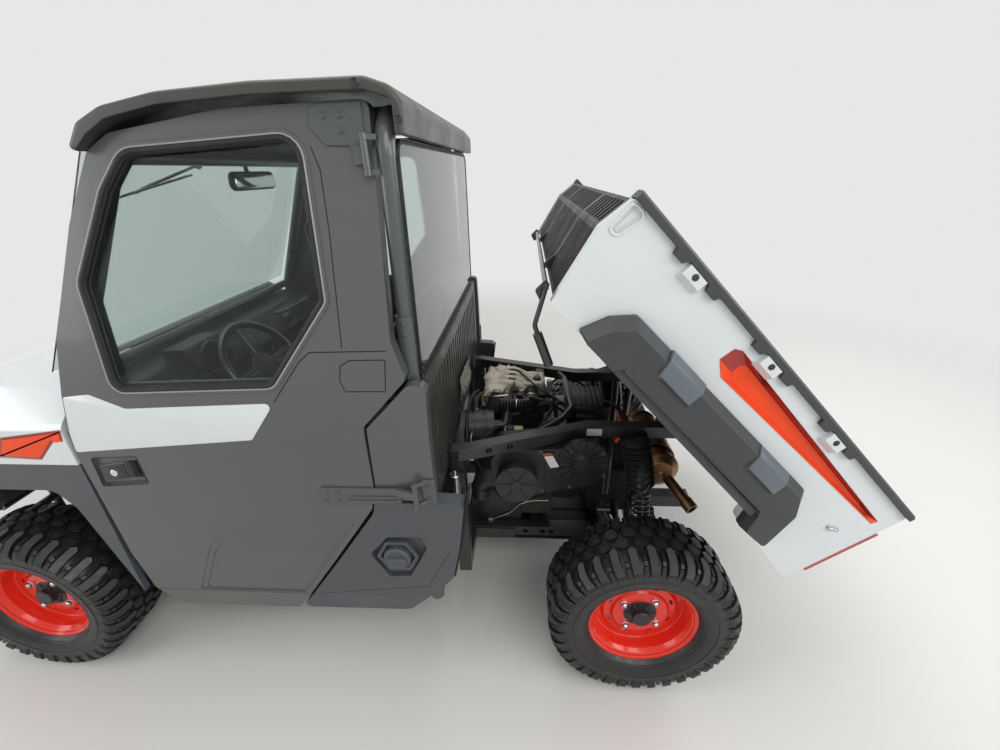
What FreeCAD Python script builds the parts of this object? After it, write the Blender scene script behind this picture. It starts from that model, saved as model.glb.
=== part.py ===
import FreeCAD, Part
import math
import os

V = FreeCAD.Vector

# A side by side utility vehicle with an enclosed cab and a raised tipping bed.
# Millimetres, +X forward, +Y to the vehicle's left, +Z up, floor at z = 0.
# The origin is on the floor under the middle of the vehicle's length.

# Overall layout
REAR_AXLE_X = -1000.0
WHEELBASE = 2300.0
FRONT_AXLE_X = REAR_AXLE_X + WHEELBASE
BUMPER_FRONT_X = 1750.0
TRACK_HALF = 660.0

# Wheels and tyres
TYRE_R = 338.0
TYRE_WIDTH = 254.0
RIM_SEAT_R = 178.0
RIM_FLANGE_R = 190.0
RIM_SHEET = 6.0
RIM_WIDTH = 178.0
DISC_OFFSET = 34.0
HUB_R = 42.0
HUB_FACE_GAP = 0.3
CAP_R = 30.0
CAP_LENGTH = 36.0
HUB_PLATE_R = 58.0
LUG_PITCHES = 28
GROOVE_DEPTH = 15.0

# Body side: skin profile seen from the front, columns are z and half width
SKIN = [(250.0, 690.0), (420.0, 728.0), (620.0, 745.0), (1120.0, 745.0), (2030.0, 616.0)]
WALL = 45.0
PANEL_GAP = 8.0

# Door outline seen from the side
DOOR_REAR_X = -107.0
DOOR_FRONT_X = 828.0
DOOR_BOTTOM_Z = 310.0
DOOR_TOP_Z = 1979.0
GLASS_THICK = 5.0

# Door hinge line, through both barrels on the left side
HINGE_LOW = V(-243.0, 765.0, 940.0)
HINGE_HIGH = V(-200.0, 668.0, 1858.0)
BARREL_R = 9.0

# Roll cage
CAGE_R = 22.0
POST_R = 24.0
POST_X = -242.0
POST_Y = 640.0
ROOF_RAIL_Y = 552.0
CAGE_TOP_Z = 1948.0
OUTRIGGER_R = 20.0

# Roof cap
ROOF_TOP_Z = CAGE_TOP_Z + 70.0
ROOF_HALF_WIDTH = 668.0
ROOF_SHEET = 27.0

# Cab floor and walls
SHEET = 12.0
FIREWALL_X = 850.0
BULKHEAD_X = -222.0
SEAT_BOX_FRONT_X = 270.0
SEAT_BOX_TOP_Z = 740.0
CAB_HALF_WIDTH = 588.0
REAR_PANEL_X = -286.0
BELT_Z = 1256.0

# Frame
LOW_RAIL_Y = 230.0
LOW_RAIL_Z = 282.0
RAIL = 50.0
LOW_RAIL_TOP = LOW_RAIL_Z + RAIL / 2.0
CROSS_TOP = LOW_RAIL_TOP - 5.0
HIGH_RAIL_Y = 440.0
HIGH_RAIL_FRONT_X = -330.0
HIGH_RAIL_BEND_X = -830.0
REAR_RAIL_Y = 262.0
HIGH_RAIL_TOP_Z = 875.0

# Cage feet and floor, stacked on the low rails
SEAT_GAP = 0.3
OUTRIGGER_Z = LOW_RAIL_TOP + OUTRIGGER_R + SEAT_GAP
FLOOR_Z = OUTRIGGER_Z + OUTRIGGER_R + SEAT_GAP + SHEET

# Suspension
KINGPIN_Y = 545.0
UPRIGHT_R = 24.0
UPRIGHT_LOW_Z = 286.0
UPRIGHT_HIGH_Z = 404.0
SHOCK_R = 38.0
SHOCK_EYE_R = 18.0
SHOCK_EYE_HALF = 16.0
REAR_SHOCK_OFFSET = -40.0
REAR_SHOCK_TOP = (330.0, 838.0)
FRONT_SHOCK_TOP = (294.0, 776.0)
SHOCK_FOOT = (440.0, 494.0)
ARM_TIP = 26.0
POST_FRONT_X = 800.0
AXLE_Z = TYRE_R

# Bed, laid out lowered and then tipped about its hinge
BED_HINGE_X = -1244.0
BED_HINGE_Z = 858.0
BED_RAISED = 45.5
BED_FRONT_TOP_X = -314.0
BED_FRONT_LOW_X = -358.0
BED_REAR_X = -1612.0
BED_FLOOR_Z = 893.0
BED_FLOOR = 12.0
BED_TOP_Z = 1190.0
BED_RAIL_TOP_Z = 1212.0
BED_INNER_Y = 688.0
BED_SKIN_Y = 722.0
FLARE_Y = 777.0
PIN_R = 10.0
PIN_CLEARANCE = 0.5
EAR = 10.0
LATCH_BAR = (-345.0, 889.0)
GATE_THICK = 28.0
GATE_HALF = 668.0
GATE_HINGE = (BED_REAR_X + 12.0, BED_FLOOR_Z + 6.0)
GATE_HINGE_Y = 500.0
GATE_PIN_R = 6.0

# Lift cylinder beside the right rail
LIFT_Y = -470.0
LIFT_FOOT = (-1120.0, 560.0)
LIFT_EYE_AHEAD = 280.0
LIFT_EYE_BELOW = 8.0
BARREL_TUBE_R = 24.0
ROD_R = 11.0
ROD_CLEARANCE = 0.5
LIFT_TUBE = 300.0
LIFT_EYE_HALF = 14.0
LIFT_PIN_R = 7.0
LIFT_DRIFT = 6.5

# Steering wheel
WHEEL_CENTRE = V(400.0, 330.0, 1165.0)
COLUMN_RAKE = 32.0
WHEEL_RIM_R = 178.0
WHEEL_GRIP_R = 14.0
HUB_DEPTH = 40.0


def box(x0, x1, y0, y1, z0, z1):
    return Part.makeBox(x1 - x0, y1 - y0, z1 - z0, V(x0, y0, z0))


def in_side(u, v):
    return V(u, 0.0, v)


def in_front(u, v):
    return V(0.0, u, v)


def in_plan(u, v):
    return V(u, v, 0.0)


def outline(corners, place):
    """A closed wire round corners of (u, v) or (u, v, corner radius)."""
    count = len(corners)
    starts = []
    ends = []
    mids = []
    for i, corner in enumerate(corners):
        point = place(corner[0], corner[1])
        radius = corner[2] if len(corner) > 2 else 0.0
        if radius <= 0.0:
            starts.append(point)
            ends.append(point)
            mids.append(None)
            continue
        back = place(*corners[i - 1][:2]) - point
        ahead = place(*corners[(i + 1) % count][:2]) - point
        back.normalize()
        ahead.normalize()
        half = back.getAngle(ahead) / 2.0
        reach = radius / math.tan(half)
        inward = back + ahead
        inward.normalize()
        centre = point + inward * (radius / math.sin(half))
        starts.append(point + back * reach)
        ends.append(point + ahead * reach)
        mids.append(centre - inward * radius)
    edges = []
    for i in range(count):
        if mids[i] is not None:
            edges.append(Part.Arc(starts[i], mids[i], ends[i]).toShape())
        following = starts[(i + 1) % count]
        if ends[i].distanceToPoint(following) > 1e-6:
            edges.append(Part.LineSegment(ends[i], following).toShape())
    return Part.Wire(edges)


def prism(corners, place, low, high):
    """An outline in one view, run from low to high along the third axis."""
    along = place(1.0, 0.0).cross(place(0.0, 1.0))
    along = V(abs(along.x), abs(along.y), abs(along.z))
    face = Part.Face(outline(corners, place))
    face.translate(along * low)
    return face.extrude(along * (high - low))


def side_prism(corners, y0, y1):
    return prism(corners, in_side, y0, y1)


def front_prism(corners, x0, x1):
    return prism(corners, in_front, x0, x1)


def plan_prism(corners, z0, z1):
    return prism(corners, in_plan, z0, z1)


def rod(start, end, radius):
    return Part.makeCylinder(radius, (end - start).Length, start, end - start)


def turned(profile, centre):
    """A profile of (radius, y) corners turned about the axle line through centre."""
    place = lambda u, v: V(centre.x + u, centre.y + v, centre.z)
    face = Part.Face(outline(profile, place))
    return face.revolve(centre, V(0, 1, 0), 360)


def bent_tube(points, radius, bend):
    """A round bar along straight runs joined by tangent arcs."""
    edges = []
    start = points[0]
    for i in range(1, len(points) - 1):
        corner = points[i]
        back = points[i - 1] - corner
        ahead = points[i + 1] - corner
        back.normalize()
        ahead.normalize()
        half = back.getAngle(ahead) / 2.0
        reach = bend / math.tan(half)
        inward = back + ahead
        inward.normalize()
        centre = corner + inward * (bend / math.sin(half))
        arc_start = corner + back * reach
        arc_end = corner + ahead * reach
        edges.append(Part.LineSegment(start, arc_start).toShape())
        edges.append(Part.Arc(arc_start, centre - inward * bend, arc_end).toShape())
        start = arc_end
    edges.append(Part.LineSegment(start, points[-1]).toShape())
    path = Part.Wire(edges)
    ring = Part.Wire([Part.makeCircle(radius, points[0], points[1] - points[0])])
    return path.makePipeShell([ring], True, False)


def mirrored(shape):
    return shape.mirror(V(0, 0, 0), V(0, 1, 0))


def both(shape):
    return [shape, mirrored(shape)]


def fuse(shapes):
    result = shapes[0].multiFuse(shapes[1:]) if len(shapes) > 1 else shapes[0]
    return result.removeSplitter()


def write(name, shapes):
    """One STEP file for a node, from solids that don't touch."""
    solids = []
    for shape in shapes:
        solids.extend(shape.Solids)
    shape = solids[0] if len(solids) == 1 else Part.makeCompound(solids)
    os.makedirs("parts", exist_ok=True)
    shape.exportStep("parts/" + name + ".step")


def skin_y(z):
    """Half width of the body side at height z."""
    for (z0, y0), (z1, y1) in zip(SKIN, SKIN[1:]):
        if z <= z1:
            return y0 + (y1 - y0) * (z - z0) / (z1 - z0)
    return SKIN[-1][1]


def skin_slab(outer, inner, x0, x1):
    """The body side wall between two depths inside its skin."""
    outside = [(y - outer, z) for z, y in SKIN]
    inside = [(y - inner, z) for z, y in reversed(SKIN)]
    return front_prism(outside + inside, x0, x1)


def raise_bed(shape):
    turned_shape = shape.copy()
    turned_shape.rotate(V(BED_HINGE_X, 0, BED_HINGE_Z), V(0, -1, 0), BED_RAISED)
    return turned_shape


# Doors

DOOR = [
    (DOOR_REAR_X + 391.0, DOOR_BOTTOM_Z, 30.0),
    (DOOR_FRONT_X - 66.0, DOOR_BOTTOM_Z, 25.0),
    (DOOR_FRONT_X - 20.0, DOOR_BOTTOM_Z + 124.0, 60.0),
    (DOOR_FRONT_X, 1040.0, 60.0),
    (DOOR_FRONT_X - 27.0, 1242.0, 60.0),
    (DOOR_FRONT_X - 65.0, 1405.0, 80.0),
    (DOOR_FRONT_X - 205.0, 1714.0, 80.0),
    (DOOR_FRONT_X - 306.0, 1885.0, 45.0),
    (DOOR_FRONT_X - 373.0, 1924.0, 60.0),
    (DOOR_REAR_X + 263.0, DOOR_TOP_Z - 11.0, 200.0),
    (DOOR_REAR_X - 102.0, DOOR_TOP_Z, 25.0),
    (DOOR_REAR_X - 103.0, 1400.0, 40.0),
    (DOOR_REAR_X - 137.0, 1290.0, 20.0),
    (DOOR_REAR_X, 1146.0, 20.0),
    (DOOR_REAR_X, 931.0, 30.0),
    (DOOR_REAR_X + 17.0, 842.0, 30.0),
]

WINDOW = [
    (-22.0, 1900.0, 45.0),
    (-30.0, 1512.0, 20.0),
    (150.0, 1278.0, 30.0),
    (622.0, 1262.0, 30.0),
    (633.0, 1560.0, 60.0),
    (500.0, 1790.0, 60.0),
    (425.0, 1876.0, 60.0),
]


# Latch in the door's skin: recess, handle and finger hole
LATCH_RECESS = [(787.0, 1027.0, 8.0), (634.0, 1034.0, 8.0), (630.0, 928.0, 8.0), (792.0, 913.0, 8.0)]
LATCH_HANDLE = [(773.0, 995.0, 6.0), (684.0, 1010.0, 4.0), (683.0, 946.0, 4.0), (777.0, 930.0, 6.0)]
LATCH_HOLE = [(680.0, 1011.0, 4.0), (643.0, 1014.0, 4.0), (643.0, 946.0, 4.0), (680.0, 946.0, 4.0)]
LATCH_DEPTH = 10.0

# Pressed panel in the door's lower half, with a step round it
PRESSING = [
    (630.0, 424.0, 10.0), (515.0, 650.0, 60.0), (455.0, 716.0, 30.0), (396.0, 732.0, 60.0),
    (-26.0, 786.0, 6.0), (226.0, 424.0, 10.0)
]
PRESSING_INNER = [
    (606.0, 430.0, 10.0), (498.0, 640.0, 60.0), (442.0, 700.0, 30.0), (386.0, 716.0, 60.0),
    (4.0, 764.0, 6.0), (228.0, 430.0, 10.0)
]
PRESSING_STEP = 2.5
BORDER_REACH = 24.0
BORDER_HEIGHT = 3.0

# Seams pressed into the door, each a line of x and z
DOOR_SEAMS = [
    [(149.0, 1222.0), (58.0, 1340.0), (23.0, 1369.0), (-195.0, 1373.0)],
    [(-56.0, 1880.0), (-73.0, 1828.0), (-77.0, 1685.0), (-72.0, 1382.0)],
    [
        (-61.0, 1330.0), (-89.0, 1346.0), (-190.0, 1348.0), (-184.0, 1256.0), (-67.0, 1255.0),
        (-55.0, 1287.0), (-61.0, 1330.0)
    ],
    [(790.0, 417.0), (215.0, 417.0)],
]
SEAM_HALF = 1.6
SEAM_DEPTH = 2.5


def seam(points, depth):
    """Shallow channel strips along a line on the body side."""
    strips = []
    for (x0, z0), (x1, z1) in zip(points, points[1:]):
        run = math.hypot(x1 - x0, z1 - z0)
        ux, uz = (x1 - x0) / run * SEAM_HALF, (z1 - z0) / run * SEAM_HALF
        corners = [
            (x0 - ux - uz, z0 - uz + ux), (x1 + ux - uz, z1 + uz + ux), (x1 + ux + uz, z1 + uz - ux),
            (x0 - ux + uz, z0 - uz - ux)
        ]
        slab = skin_slab(-8.0, depth, min(x0, x1) - 9.0, max(x0, x1) + 9.0)
        strips.append(side_prism(corners, 500.0, 900.0).common(slab))
    return strips


def on_skin(corners, outer, inner):
    """An outline on the body side, between two depths inside its skin."""
    xs = [corner[0] for corner in corners]
    return side_prism(corners, 0.0, 900.0).common(skin_slab(outer, inner, min(xs) - 1.0, max(xs) + 1.0))


def door():
    reach = (REAR_PANEL_X - WALL, DOOR_FRONT_X + WALL)
    panel = on_skin(DOOR, 0.0, WALL)
    opening = side_prism(WINDOW, 0.0, 900.0)
    frame = outline(WINDOW, in_side).makeOffset2D(BORDER_REACH)
    border = Part.Face(frame).extrude(V(0, 900.0, 0)).common(
        skin_slab(-BORDER_HEIGHT, BORDER_HEIGHT, *reach)
    )
    panel = fuse([panel, border]).cut(opening)
    panel = panel.cut(on_skin(LATCH_RECESS, -10.0, LATCH_DEPTH))
    panel = panel.fuse(on_skin(LATCH_HANDLE, 2.0, LATCH_DEPTH + 1.0))
    panel = panel.cut(on_skin(LATCH_HOLE, -10.0, 3.0 * LATCH_DEPTH))
    panel = panel.cut(on_skin(PRESSING, -10.0, PRESSING_STEP))
    panel = panel.cut(on_skin(PRESSING_INNER, -10.0, 2.0 * PRESSING_STEP))
    for points in DOOR_SEAMS:
        for strip in seam(points, SEAM_DEPTH):
            panel = panel.cut(strip)
    return panel


def door_glass():
    depth = (WALL - GLASS_THICK) / 2.0
    return on_skin(WINDOW, depth, depth + GLASS_THICK)


def hinge_point(z):
    share = (z - HINGE_LOW.z) / (HINGE_HIGH.z - HINGE_LOW.z)
    return HINGE_LOW + (HINGE_HIGH - HINGE_LOW) * share


STRAP_THICK = 6.0
QUARTER_INSET = 4.0
EAR_HEIGHT = 16.0
BARREL_LENGTH = 60.0
LOW_BARREL_Z = 917.0
HIGH_BARREL_Z = HINGE_HIGH.z

# Outlines of the hinge plates on the door, and the slot pressed into the lower one
LOW_STRAP = [(63.0, 929.0, 4.0), (-192.0, 930.0, 0.0), (-192.0, 874.0, 0.0), (66.0, 861.0, 4.0)]
STRAP_SLOT = [(-22.0, 907.0, 8.0), (-186.0, 908.0, 8.0), (-187.0, 883.0, 8.0), (-20.0, 881.0, 8.0)]
STRAP_RIB = [(-34.0, 897.0, 2.0), (-176.0, 898.0, 2.0), (-176.0, 892.0, 2.0), (-34.0, 891.0, 2.0)]
CORNER_PLATE = [
    (-60.0, 1924.0, 6.0), (-66.0, 1962.0, 8.0), (-84.0, 1970.0, 8.0), (-192.0, 1972.0, 0.0),
    (-192.0, 1836.0, 0.0), (-160.0, 1836.0, 6.0), (-158.0, 1880.0, 8.0), (-98.0, 1882.0, 8.0),
]
STRAP_REAR_X = -192.0


def hinge_leaf(barrel_z, outline_corners, reach):
    """The door's half of a hinge: barrel, plate on the skin, and an arm between them."""
    pin = hinge_point(barrel_z)
    barrel = rod(
        hinge_point(barrel_z - BARREL_LENGTH / 2), hinge_point(barrel_z + BARREL_LENGTH / 2), BARREL_R
    )
    plate = on_skin(outline_corners, -STRAP_THICK, 0.0)
    seat = skin_y(barrel_z - reach) + SEAT_GAP
    arm = plan_prism([
        (pin.x, pin.y + BARREL_R - 1.0),
        (pin.x, pin.y - BARREL_R + 1.0),
        (STRAP_REAR_X + 1.0, seat),
        (STRAP_REAR_X + 25.0, seat),
        (STRAP_REAR_X + 25.0, seat + STRAP_THICK - 0.5),
    ], barrel_z - reach, barrel_z + reach)
    return fuse([barrel, plate, arm])


def door_hinges():
    """A long strap below and a corner plate above."""
    strap = hinge_leaf(LOW_BARREL_Z, LOW_STRAP, 14.0)
    strap = strap.cut(on_skin(STRAP_SLOT, -STRAP_THICK - 2.0, -STRAP_THICK / 2.0))
    strap = fuse([strap, on_skin(STRAP_RIB, -STRAP_THICK, -STRAP_THICK / 2.0 + 1.0)])
    return [strap, hinge_leaf(HIGH_BARREL_Z, CORNER_PLATE, 20.0)]


def ear_pair(z):
    """The fixed halves of a hinge, above and below the door's barrel."""
    shapes = []
    start = BARREL_LENGTH / 2 + SEAT_GAP
    for s in (1.0, -1.0):
        shapes.append(rod(hinge_point(z + s * start), hinge_point(z + s * (start + EAR_HEIGHT)), BARREL_R))
    return shapes


def hinge_brackets():
    """Fixed brackets: a plate on the quarter panel below, a clamp on the post above."""
    shapes = []
    pin = hinge_point(LOW_BARREL_Z)
    outer = skin_y(pin.z) - QUARTER_INSET
    reach = BARREL_LENGTH / 2 + EAR_HEIGHT
    plate = box(
        pin.x - 60.0, pin.x - 18.0, outer + SEAT_GAP, outer + STRAP_THICK, pin.z - reach, pin.z + reach
    )
    pieces = ear_pair(pin.z) + [plate]
    for s in (1.0, -1.0):
        z0, z1 = sorted((pin.z + s * (BARREL_LENGTH / 2 + 2.0), pin.z + s * (reach - 2.0)))
        pieces.append(plan_prism([
            (pin.x, pin.y + BARREL_R - 3.0), (pin.x, pin.y - BARREL_R + 3.0),
            (pin.x - 20.0, outer + SEAT_GAP), (pin.x - 30.0, outer + SEAT_GAP),
            (pin.x - 30.0, outer + STRAP_THICK),
        ], z0, z1))
    shapes.append(fuse(pieces))
    pin = HINGE_HIGH
    pieces = ear_pair(pin.z)
    for s in (1.0, -1.0):
        z0, z1 = sorted((pin.z + s * (BARREL_LENGTH / 2 + 2.0), pin.z + s * (reach - 2.0)))
        pieces.append(plan_prism([
            (pin.x + 2.0, pin.y + 4.0), (pin.x + 2.0, pin.y - 5.0),
            (POST_X + 14.0, POST_Y + 12.0), (POST_X, POST_Y + 14.0),
        ], z0, z1))
    clamp = fuse(pieces)
    post = rod(V(POST_X, POST_Y, pin.z - 100.0), V(POST_X, POST_Y, pin.z + 100.0), POST_R + SEAT_GAP)
    shapes.append(clamp.cut(post))
    return both(shapes[0]) + both(shapes[1])


# Side panels behind the door

def quarter_panel():
    edge = DOOR_REAR_X - PANEL_GAP
    corners = [
        (edge, 1140.0, 12.0),
        (edge - 128.0, 1270.0, 12.0),
        (edge - 182.0, 1270.0, 20.0),
        (edge - 185.0, 876.0, 12.0),
        (edge + 4.0, 876.0, 8.0),
    ]
    panel = side_prism(corners, 0.0, 900.0).common(
        skin_slab(QUARTER_INSET, WALL, edge - 200.0, edge + 20.0)
    )
    return fuse([panel, post_flange(890.0, 1250.0)])


def post_flange(z0, z1):
    """A web from a side panel in to the cage post that it bolts to."""
    inner = POST_Y + POST_R + SEAT_GAP
    return box(POST_X - 8.0, POST_X + 8.0, inner, skin_y(z0) - WALL + 2.0, z0, z1)


ROCKER = [
    (-95.0, 834.0, 10.0),
    (-84.0, 812.0, 10.0),
    (270.0, 316.0, 20.0),
    (-150.0, 322.0, 60.0),
    (-330.0, 530.0, 50.0),
    (-362.0, 678.0, 60.0),
    (-388.0, 862.0, 20.0),
    (-300.0, 868.0, 20.0),
    (-100.0, 868.0, 10.0),
]
ROCKER_DEPTH = 56.0
FUEL_CAP = (-146.0, 629.0)
FUEL_CAP_R = 46.0
HEX_DEPTH = 26.0
HEX_RING_R = (74.0, 60.0)
CAP_POCKET = [
    (-56.0, 646.0, 10.0), (-123.0, 723.0, 10.0), (-236.0, 726.0, 10.0), (-252.0, 676.0, 10.0),
    (-182.0, 538.0, 10.0), (-106.0, 530.0, 10.0)
]
SILL_SEAM = [(175.0, 420.0), (-239.0, 482.0), (-325.0, 660.0)]


def hexagon(centre, radius):
    return [(centre[0] + radius * math.cos(math.radians(60 * k)),
             centre[1] + radius * math.sin(math.radians(60 * k)), 10.0) for k in range(6)]


def rocker_panel():
    panel = on_skin(ROCKER, 0.0, ROCKER_DEPTH)
    for strip in seam(SILL_SEAM, SEAM_DEPTH):
        panel = panel.cut(strip)
    return fuse([panel, post_flange(440.0, 860.0)])


def rocker_panels():
    base = skin_y(FUEL_CAP[1]) - HEX_DEPTH
    left = rocker_panel().cut(side_prism(CAP_POCKET, base, 900.0))
    ring = side_prism(hexagon(FUEL_CAP, HEX_RING_R[0]), base - 2.0, base + HEX_DEPTH - 6.0)
    ring = ring.cut(side_prism(hexagon(FUEL_CAP, HEX_RING_R[1]), base, 900.0))
    return [fuse([left, ring]), mirrored(rocker_panel())]


def fuel_cap():
    base = skin_y(FUEL_CAP[1]) - HEX_DEPTH
    start = V(FUEL_CAP[0], base, FUEL_CAP[1])
    return rod(start, start + V(0, 30.0, 0), FUEL_CAP_R)


FLAP_GAP = 0.5
FLAP_THICK = 7.0


def mud_flaps():
    """Rubber flaps that hang behind the rear edge of the side sills."""
    edge = [(-388.0, 856.0), (-362.0, 678.0), (-330.0, 530.0)]
    front = [(x - FLAP_GAP, z) for x, z in edge]
    rear = [(x - FLAP_GAP - FLAP_THICK, z) for x, z in reversed(edge)]
    return both(side_prism(front + rear, 625.0, 728.0))


# Roof, glass and rear wall of the cab

ROOF_TOP = [
    (546.0, 1888.0, 10.0),
    (500.0, 1946.0, 40.0),
    (427.0, 1978.0, 100.0),
    (281.0, ROOF_TOP_Z - 15.0, 300.0),
    (54.0, ROOF_TOP_Z - 2.0, 500.0),
    (-215.0, ROOF_TOP_Z, 60.0),
    (-270.0, ROOF_TOP_Z - 18.0, 30.0),
    (-300.0, 1965.0, 30.0),
    (-300.0, 1900.0, 0.0),
]


ROOF_ROLL = 12.0
ROOF_GROOVES = (-180.0, -120.0, -60.0, 0.0)
# A point on each upper edge of the profile that is rolled over, in x and z
ROOF_ROLL_MARKS = [(-100.0, ROOF_TOP_Z - 0.85)]


def roof():
    under = [
        (-276.0, 1900.0, 0.0),
        (-276.0, 1972.0, 20.0),
        (-215.0, ROOF_TOP_Z - ROOF_SHEET, 40.0),
        (54.0, ROOF_TOP_Z - 2.0 - ROOF_SHEET, 500.0),
        (281.0, ROOF_TOP_Z - 15.0 - ROOF_SHEET, 300.0),
        (420.0, 1978.0 - ROOF_SHEET, 80.0),
        (480.0, 1946.0 - ROOF_SHEET, 30.0),
        (524.0, 1884.0, 0.0),
    ]
    cap = side_prism(ROOF_TOP + under, -ROOF_HALF_WIDTH, ROOF_HALF_WIDTH)
    top = CAGE_TOP_Z + POST_R + SEAT_GAP
    pad = box(POST_X - 15.0, POST_X + 15.0, -480.0, 480.0, top, ROOF_TOP_Z - ROOF_SHEET + 2.0)
    cap = cap.makeFillet(ROOF_ROLL, [e for e in cap.Edges if rolled(e)])
    cap = fuse([cap, pad])
    for x in ROOF_GROOVES:
        cap = cap.cut(
            box(
                x - 6.0, x + 6.0, -ROOF_HALF_WIDTH + 40.0, ROOF_HALF_WIDTH - 40.0, ROOF_TOP_Z - 7.0,
                ROOF_TOP_Z + 10.0
            )
        )
    return cap


def rolled(edge):
    """Whether an edge runs along the top of one side of the roof."""
    box_of = edge.BoundBox
    on_side = abs(abs(box_of.YMin) - ROOF_HALF_WIDTH) < 0.1 and box_of.YLength < 0.1
    return on_side and any(
        abs(edge.distToShape(Part.Vertex(V(x, box_of.YMin, z)))[0]) < 0.1 for x, z in ROOF_ROLL_MARKS
    )


WINDSHIELD_LOW = (856.0, 1293.7)
WINDSHIELD_HIGH = (574.0, 1890.0)


def windshield():
    x0, z0 = WINDSHIELD_LOW
    x1, z1 = WINDSHIELD_HIGH
    run = math.hypot(x1 - x0, z1 - z0)
    back = ((z0 - z1) / run * GLASS_THICK, (x1 - x0) / run * GLASS_THICK)
    sheet = side_prism([(x0, z0), (x1, z1), (x1 + back[0], z1 + back[1]),
                        (x0 + back[0], z0 + back[1])], -760.0, 760.0)
    low_y, high_y = skin_y(z0) - 38.0, skin_y(z1) - 38.0
    face = [(-low_y, z0 - 20), (low_y, z0 - 20), (high_y, z1 + 20), (-high_y, z1 + 20)]
    return sheet.common(front_prism(face, x1 - 50.0, x0 + 50.0))


def rear_window():
    x1 = POST_X - POST_R - SEAT_GAP
    half = POST_Y + 4.0
    face = [(-half, BELT_Z + 1, 20), (half, BELT_Z + 1, 20), (half, 1896.0, 60), (-half, 1896.0, 60)]
    return front_prism(face, x1 - GLASS_THICK, x1)


LOUVRE_PITCH = 52.0
LOUVRE_DEPTH = 7.0


def rear_cab_panel():
    x1 = POST_X - POST_R - SEAT_GAP
    half = POST_Y + 4.0
    panel = box(REAR_PANEL_X, x1, -half, half, 800.0, BELT_Z)
    count = int(2.0 * half / LOUVRE_PITCH) - 1
    for k in range(count):
        y = (k - (count - 1) / 2.0) * LOUVRE_PITCH
        panel = panel.cut(
            box(REAR_PANEL_X - 1.0, REAR_PANEL_X + LOUVRE_DEPTH, y - 14.0, y + 14.0, 850.0, BELT_Z - 50.0)
        )
    return panel


# Cab tub

SEAT_BACK_FRONT_X = -94.0
SEAT_HALF = 575.0

def cab_tub():
    half = CAB_HALF_WIDTH
    base = FLOOR_Z - SHEET
    pieces = [box(BULKHEAD_X, FIREWALL_X - 45.0, -half, half, base, FLOOR_Z)]
    wall = [
        (FIREWALL_X - 46.0, base), (FIREWALL_X, FLOOR_Z + 60.0), (FIREWALL_X, 1236.0),
        (FIREWALL_X - SHEET, 1236.0), (FIREWALL_X - SHEET, FLOOR_Z + 64.0), (FIREWALL_X - 58.0, base),
    ]
    pieces.append(side_prism(wall, -half, half))
    pieces.append(box(BULKHEAD_X - SHEET, BULKHEAD_X, -half, half, base, 1216.0))
    box_half = half - 10.0
    pieces.append(
        box(SEAT_BOX_FRONT_X - SHEET, SEAT_BOX_FRONT_X, -box_half, box_half, FLOOR_Z, SEAT_BOX_TOP_Z)
    )
    pieces.append(
        box(BULKHEAD_X, SEAT_BOX_FRONT_X, -box_half, box_half, SEAT_BOX_TOP_Z - SHEET, SEAT_BOX_TOP_Z)
    )
    for side in (-1.0, 1.0):
        y0, y1 = sorted((side * box_half, side * (box_half - SHEET)))
        pieces.append(box(BULKHEAD_X, SEAT_BOX_FRONT_X, y0, y1, FLOOR_Z, SEAT_BOX_TOP_Z))
    return fuse(pieces)


def seat_cushion():
    low = SEAT_BOX_TOP_Z + SEAT_GAP
    cushion = box(SEAT_BACK_FRONT_X + 4.0, 330.0, -SEAT_HALF, SEAT_HALF, low, low + 130.0)
    return cushion.makeFillet(30.0, [e for e in cushion.Edges if e.BoundBox.ZMin > low + 60])


def seat_back():
    low = SEAT_BOX_TOP_Z + SEAT_GAP
    rear = BULKHEAD_X + SEAT_GAP
    corners = [(SEAT_BACK_FRONT_X - 6.0, low, 10), (SEAT_BACK_FRONT_X, low + 200, 60), (-125.0, 1420.0, 40),
               (-190.0, 1440.0, 30), (rear, 1190.0, 20), (rear, low, 10)]
    return side_prism(corners, -SEAT_HALF, SEAT_HALF)


def dashboard():
    back = FIREWALL_X - SHEET - SEAT_GAP
    corners = [
        (back, 1236.0, 0), (690.0, 1222.0, 40), (606.0, 1130.0, 40), (640.0, 950.0, 40), (back, 900.0, 0)
    ]
    panel = side_prism(corners, -CAB_HALF_WIDTH, CAB_HALF_WIDTH)
    panel = panel.cut(cage_front_cross(SEAT_GAP))
    way = column_way()
    top = WHEEL_CENTRE - way * HUB_DEPTH
    column = rod(top - way * 300.0, top, 26.0)
    pod = side_prism(
        [
            (604.0, 1130.0), (596.0, 1200.0, 10.0), (640.0, 1262.0, 20.0), (720.0, 1262.0, 10.0),
            (720.0, 1200.0)
        ],
        WHEEL_CENTRE.y - 95.0, WHEEL_CENTRE.y + 95.0
    )
    pod = pod.cut(
        side_prism(
            [(590.0, 1150.0), (590.0, 1240.0), (612.0, 1240.0, 8.0), (614.0, 1150.0, 8.0)],
            WHEEL_CENTRE.y - 80.0, WHEEL_CENTRE.y + 80.0
        )
    )
    shelf = box(600.0, 700.0, -480.0, -120.0, 1040.0, 1110.0)
    return fuse([panel.cut(shelf), column, pod])


def column_way():
    """Along the steering column, towards the driver."""
    return V(-math.cos(math.radians(COLUMN_RAKE)), 0, math.sin(math.radians(COLUMN_RAKE)))


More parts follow.
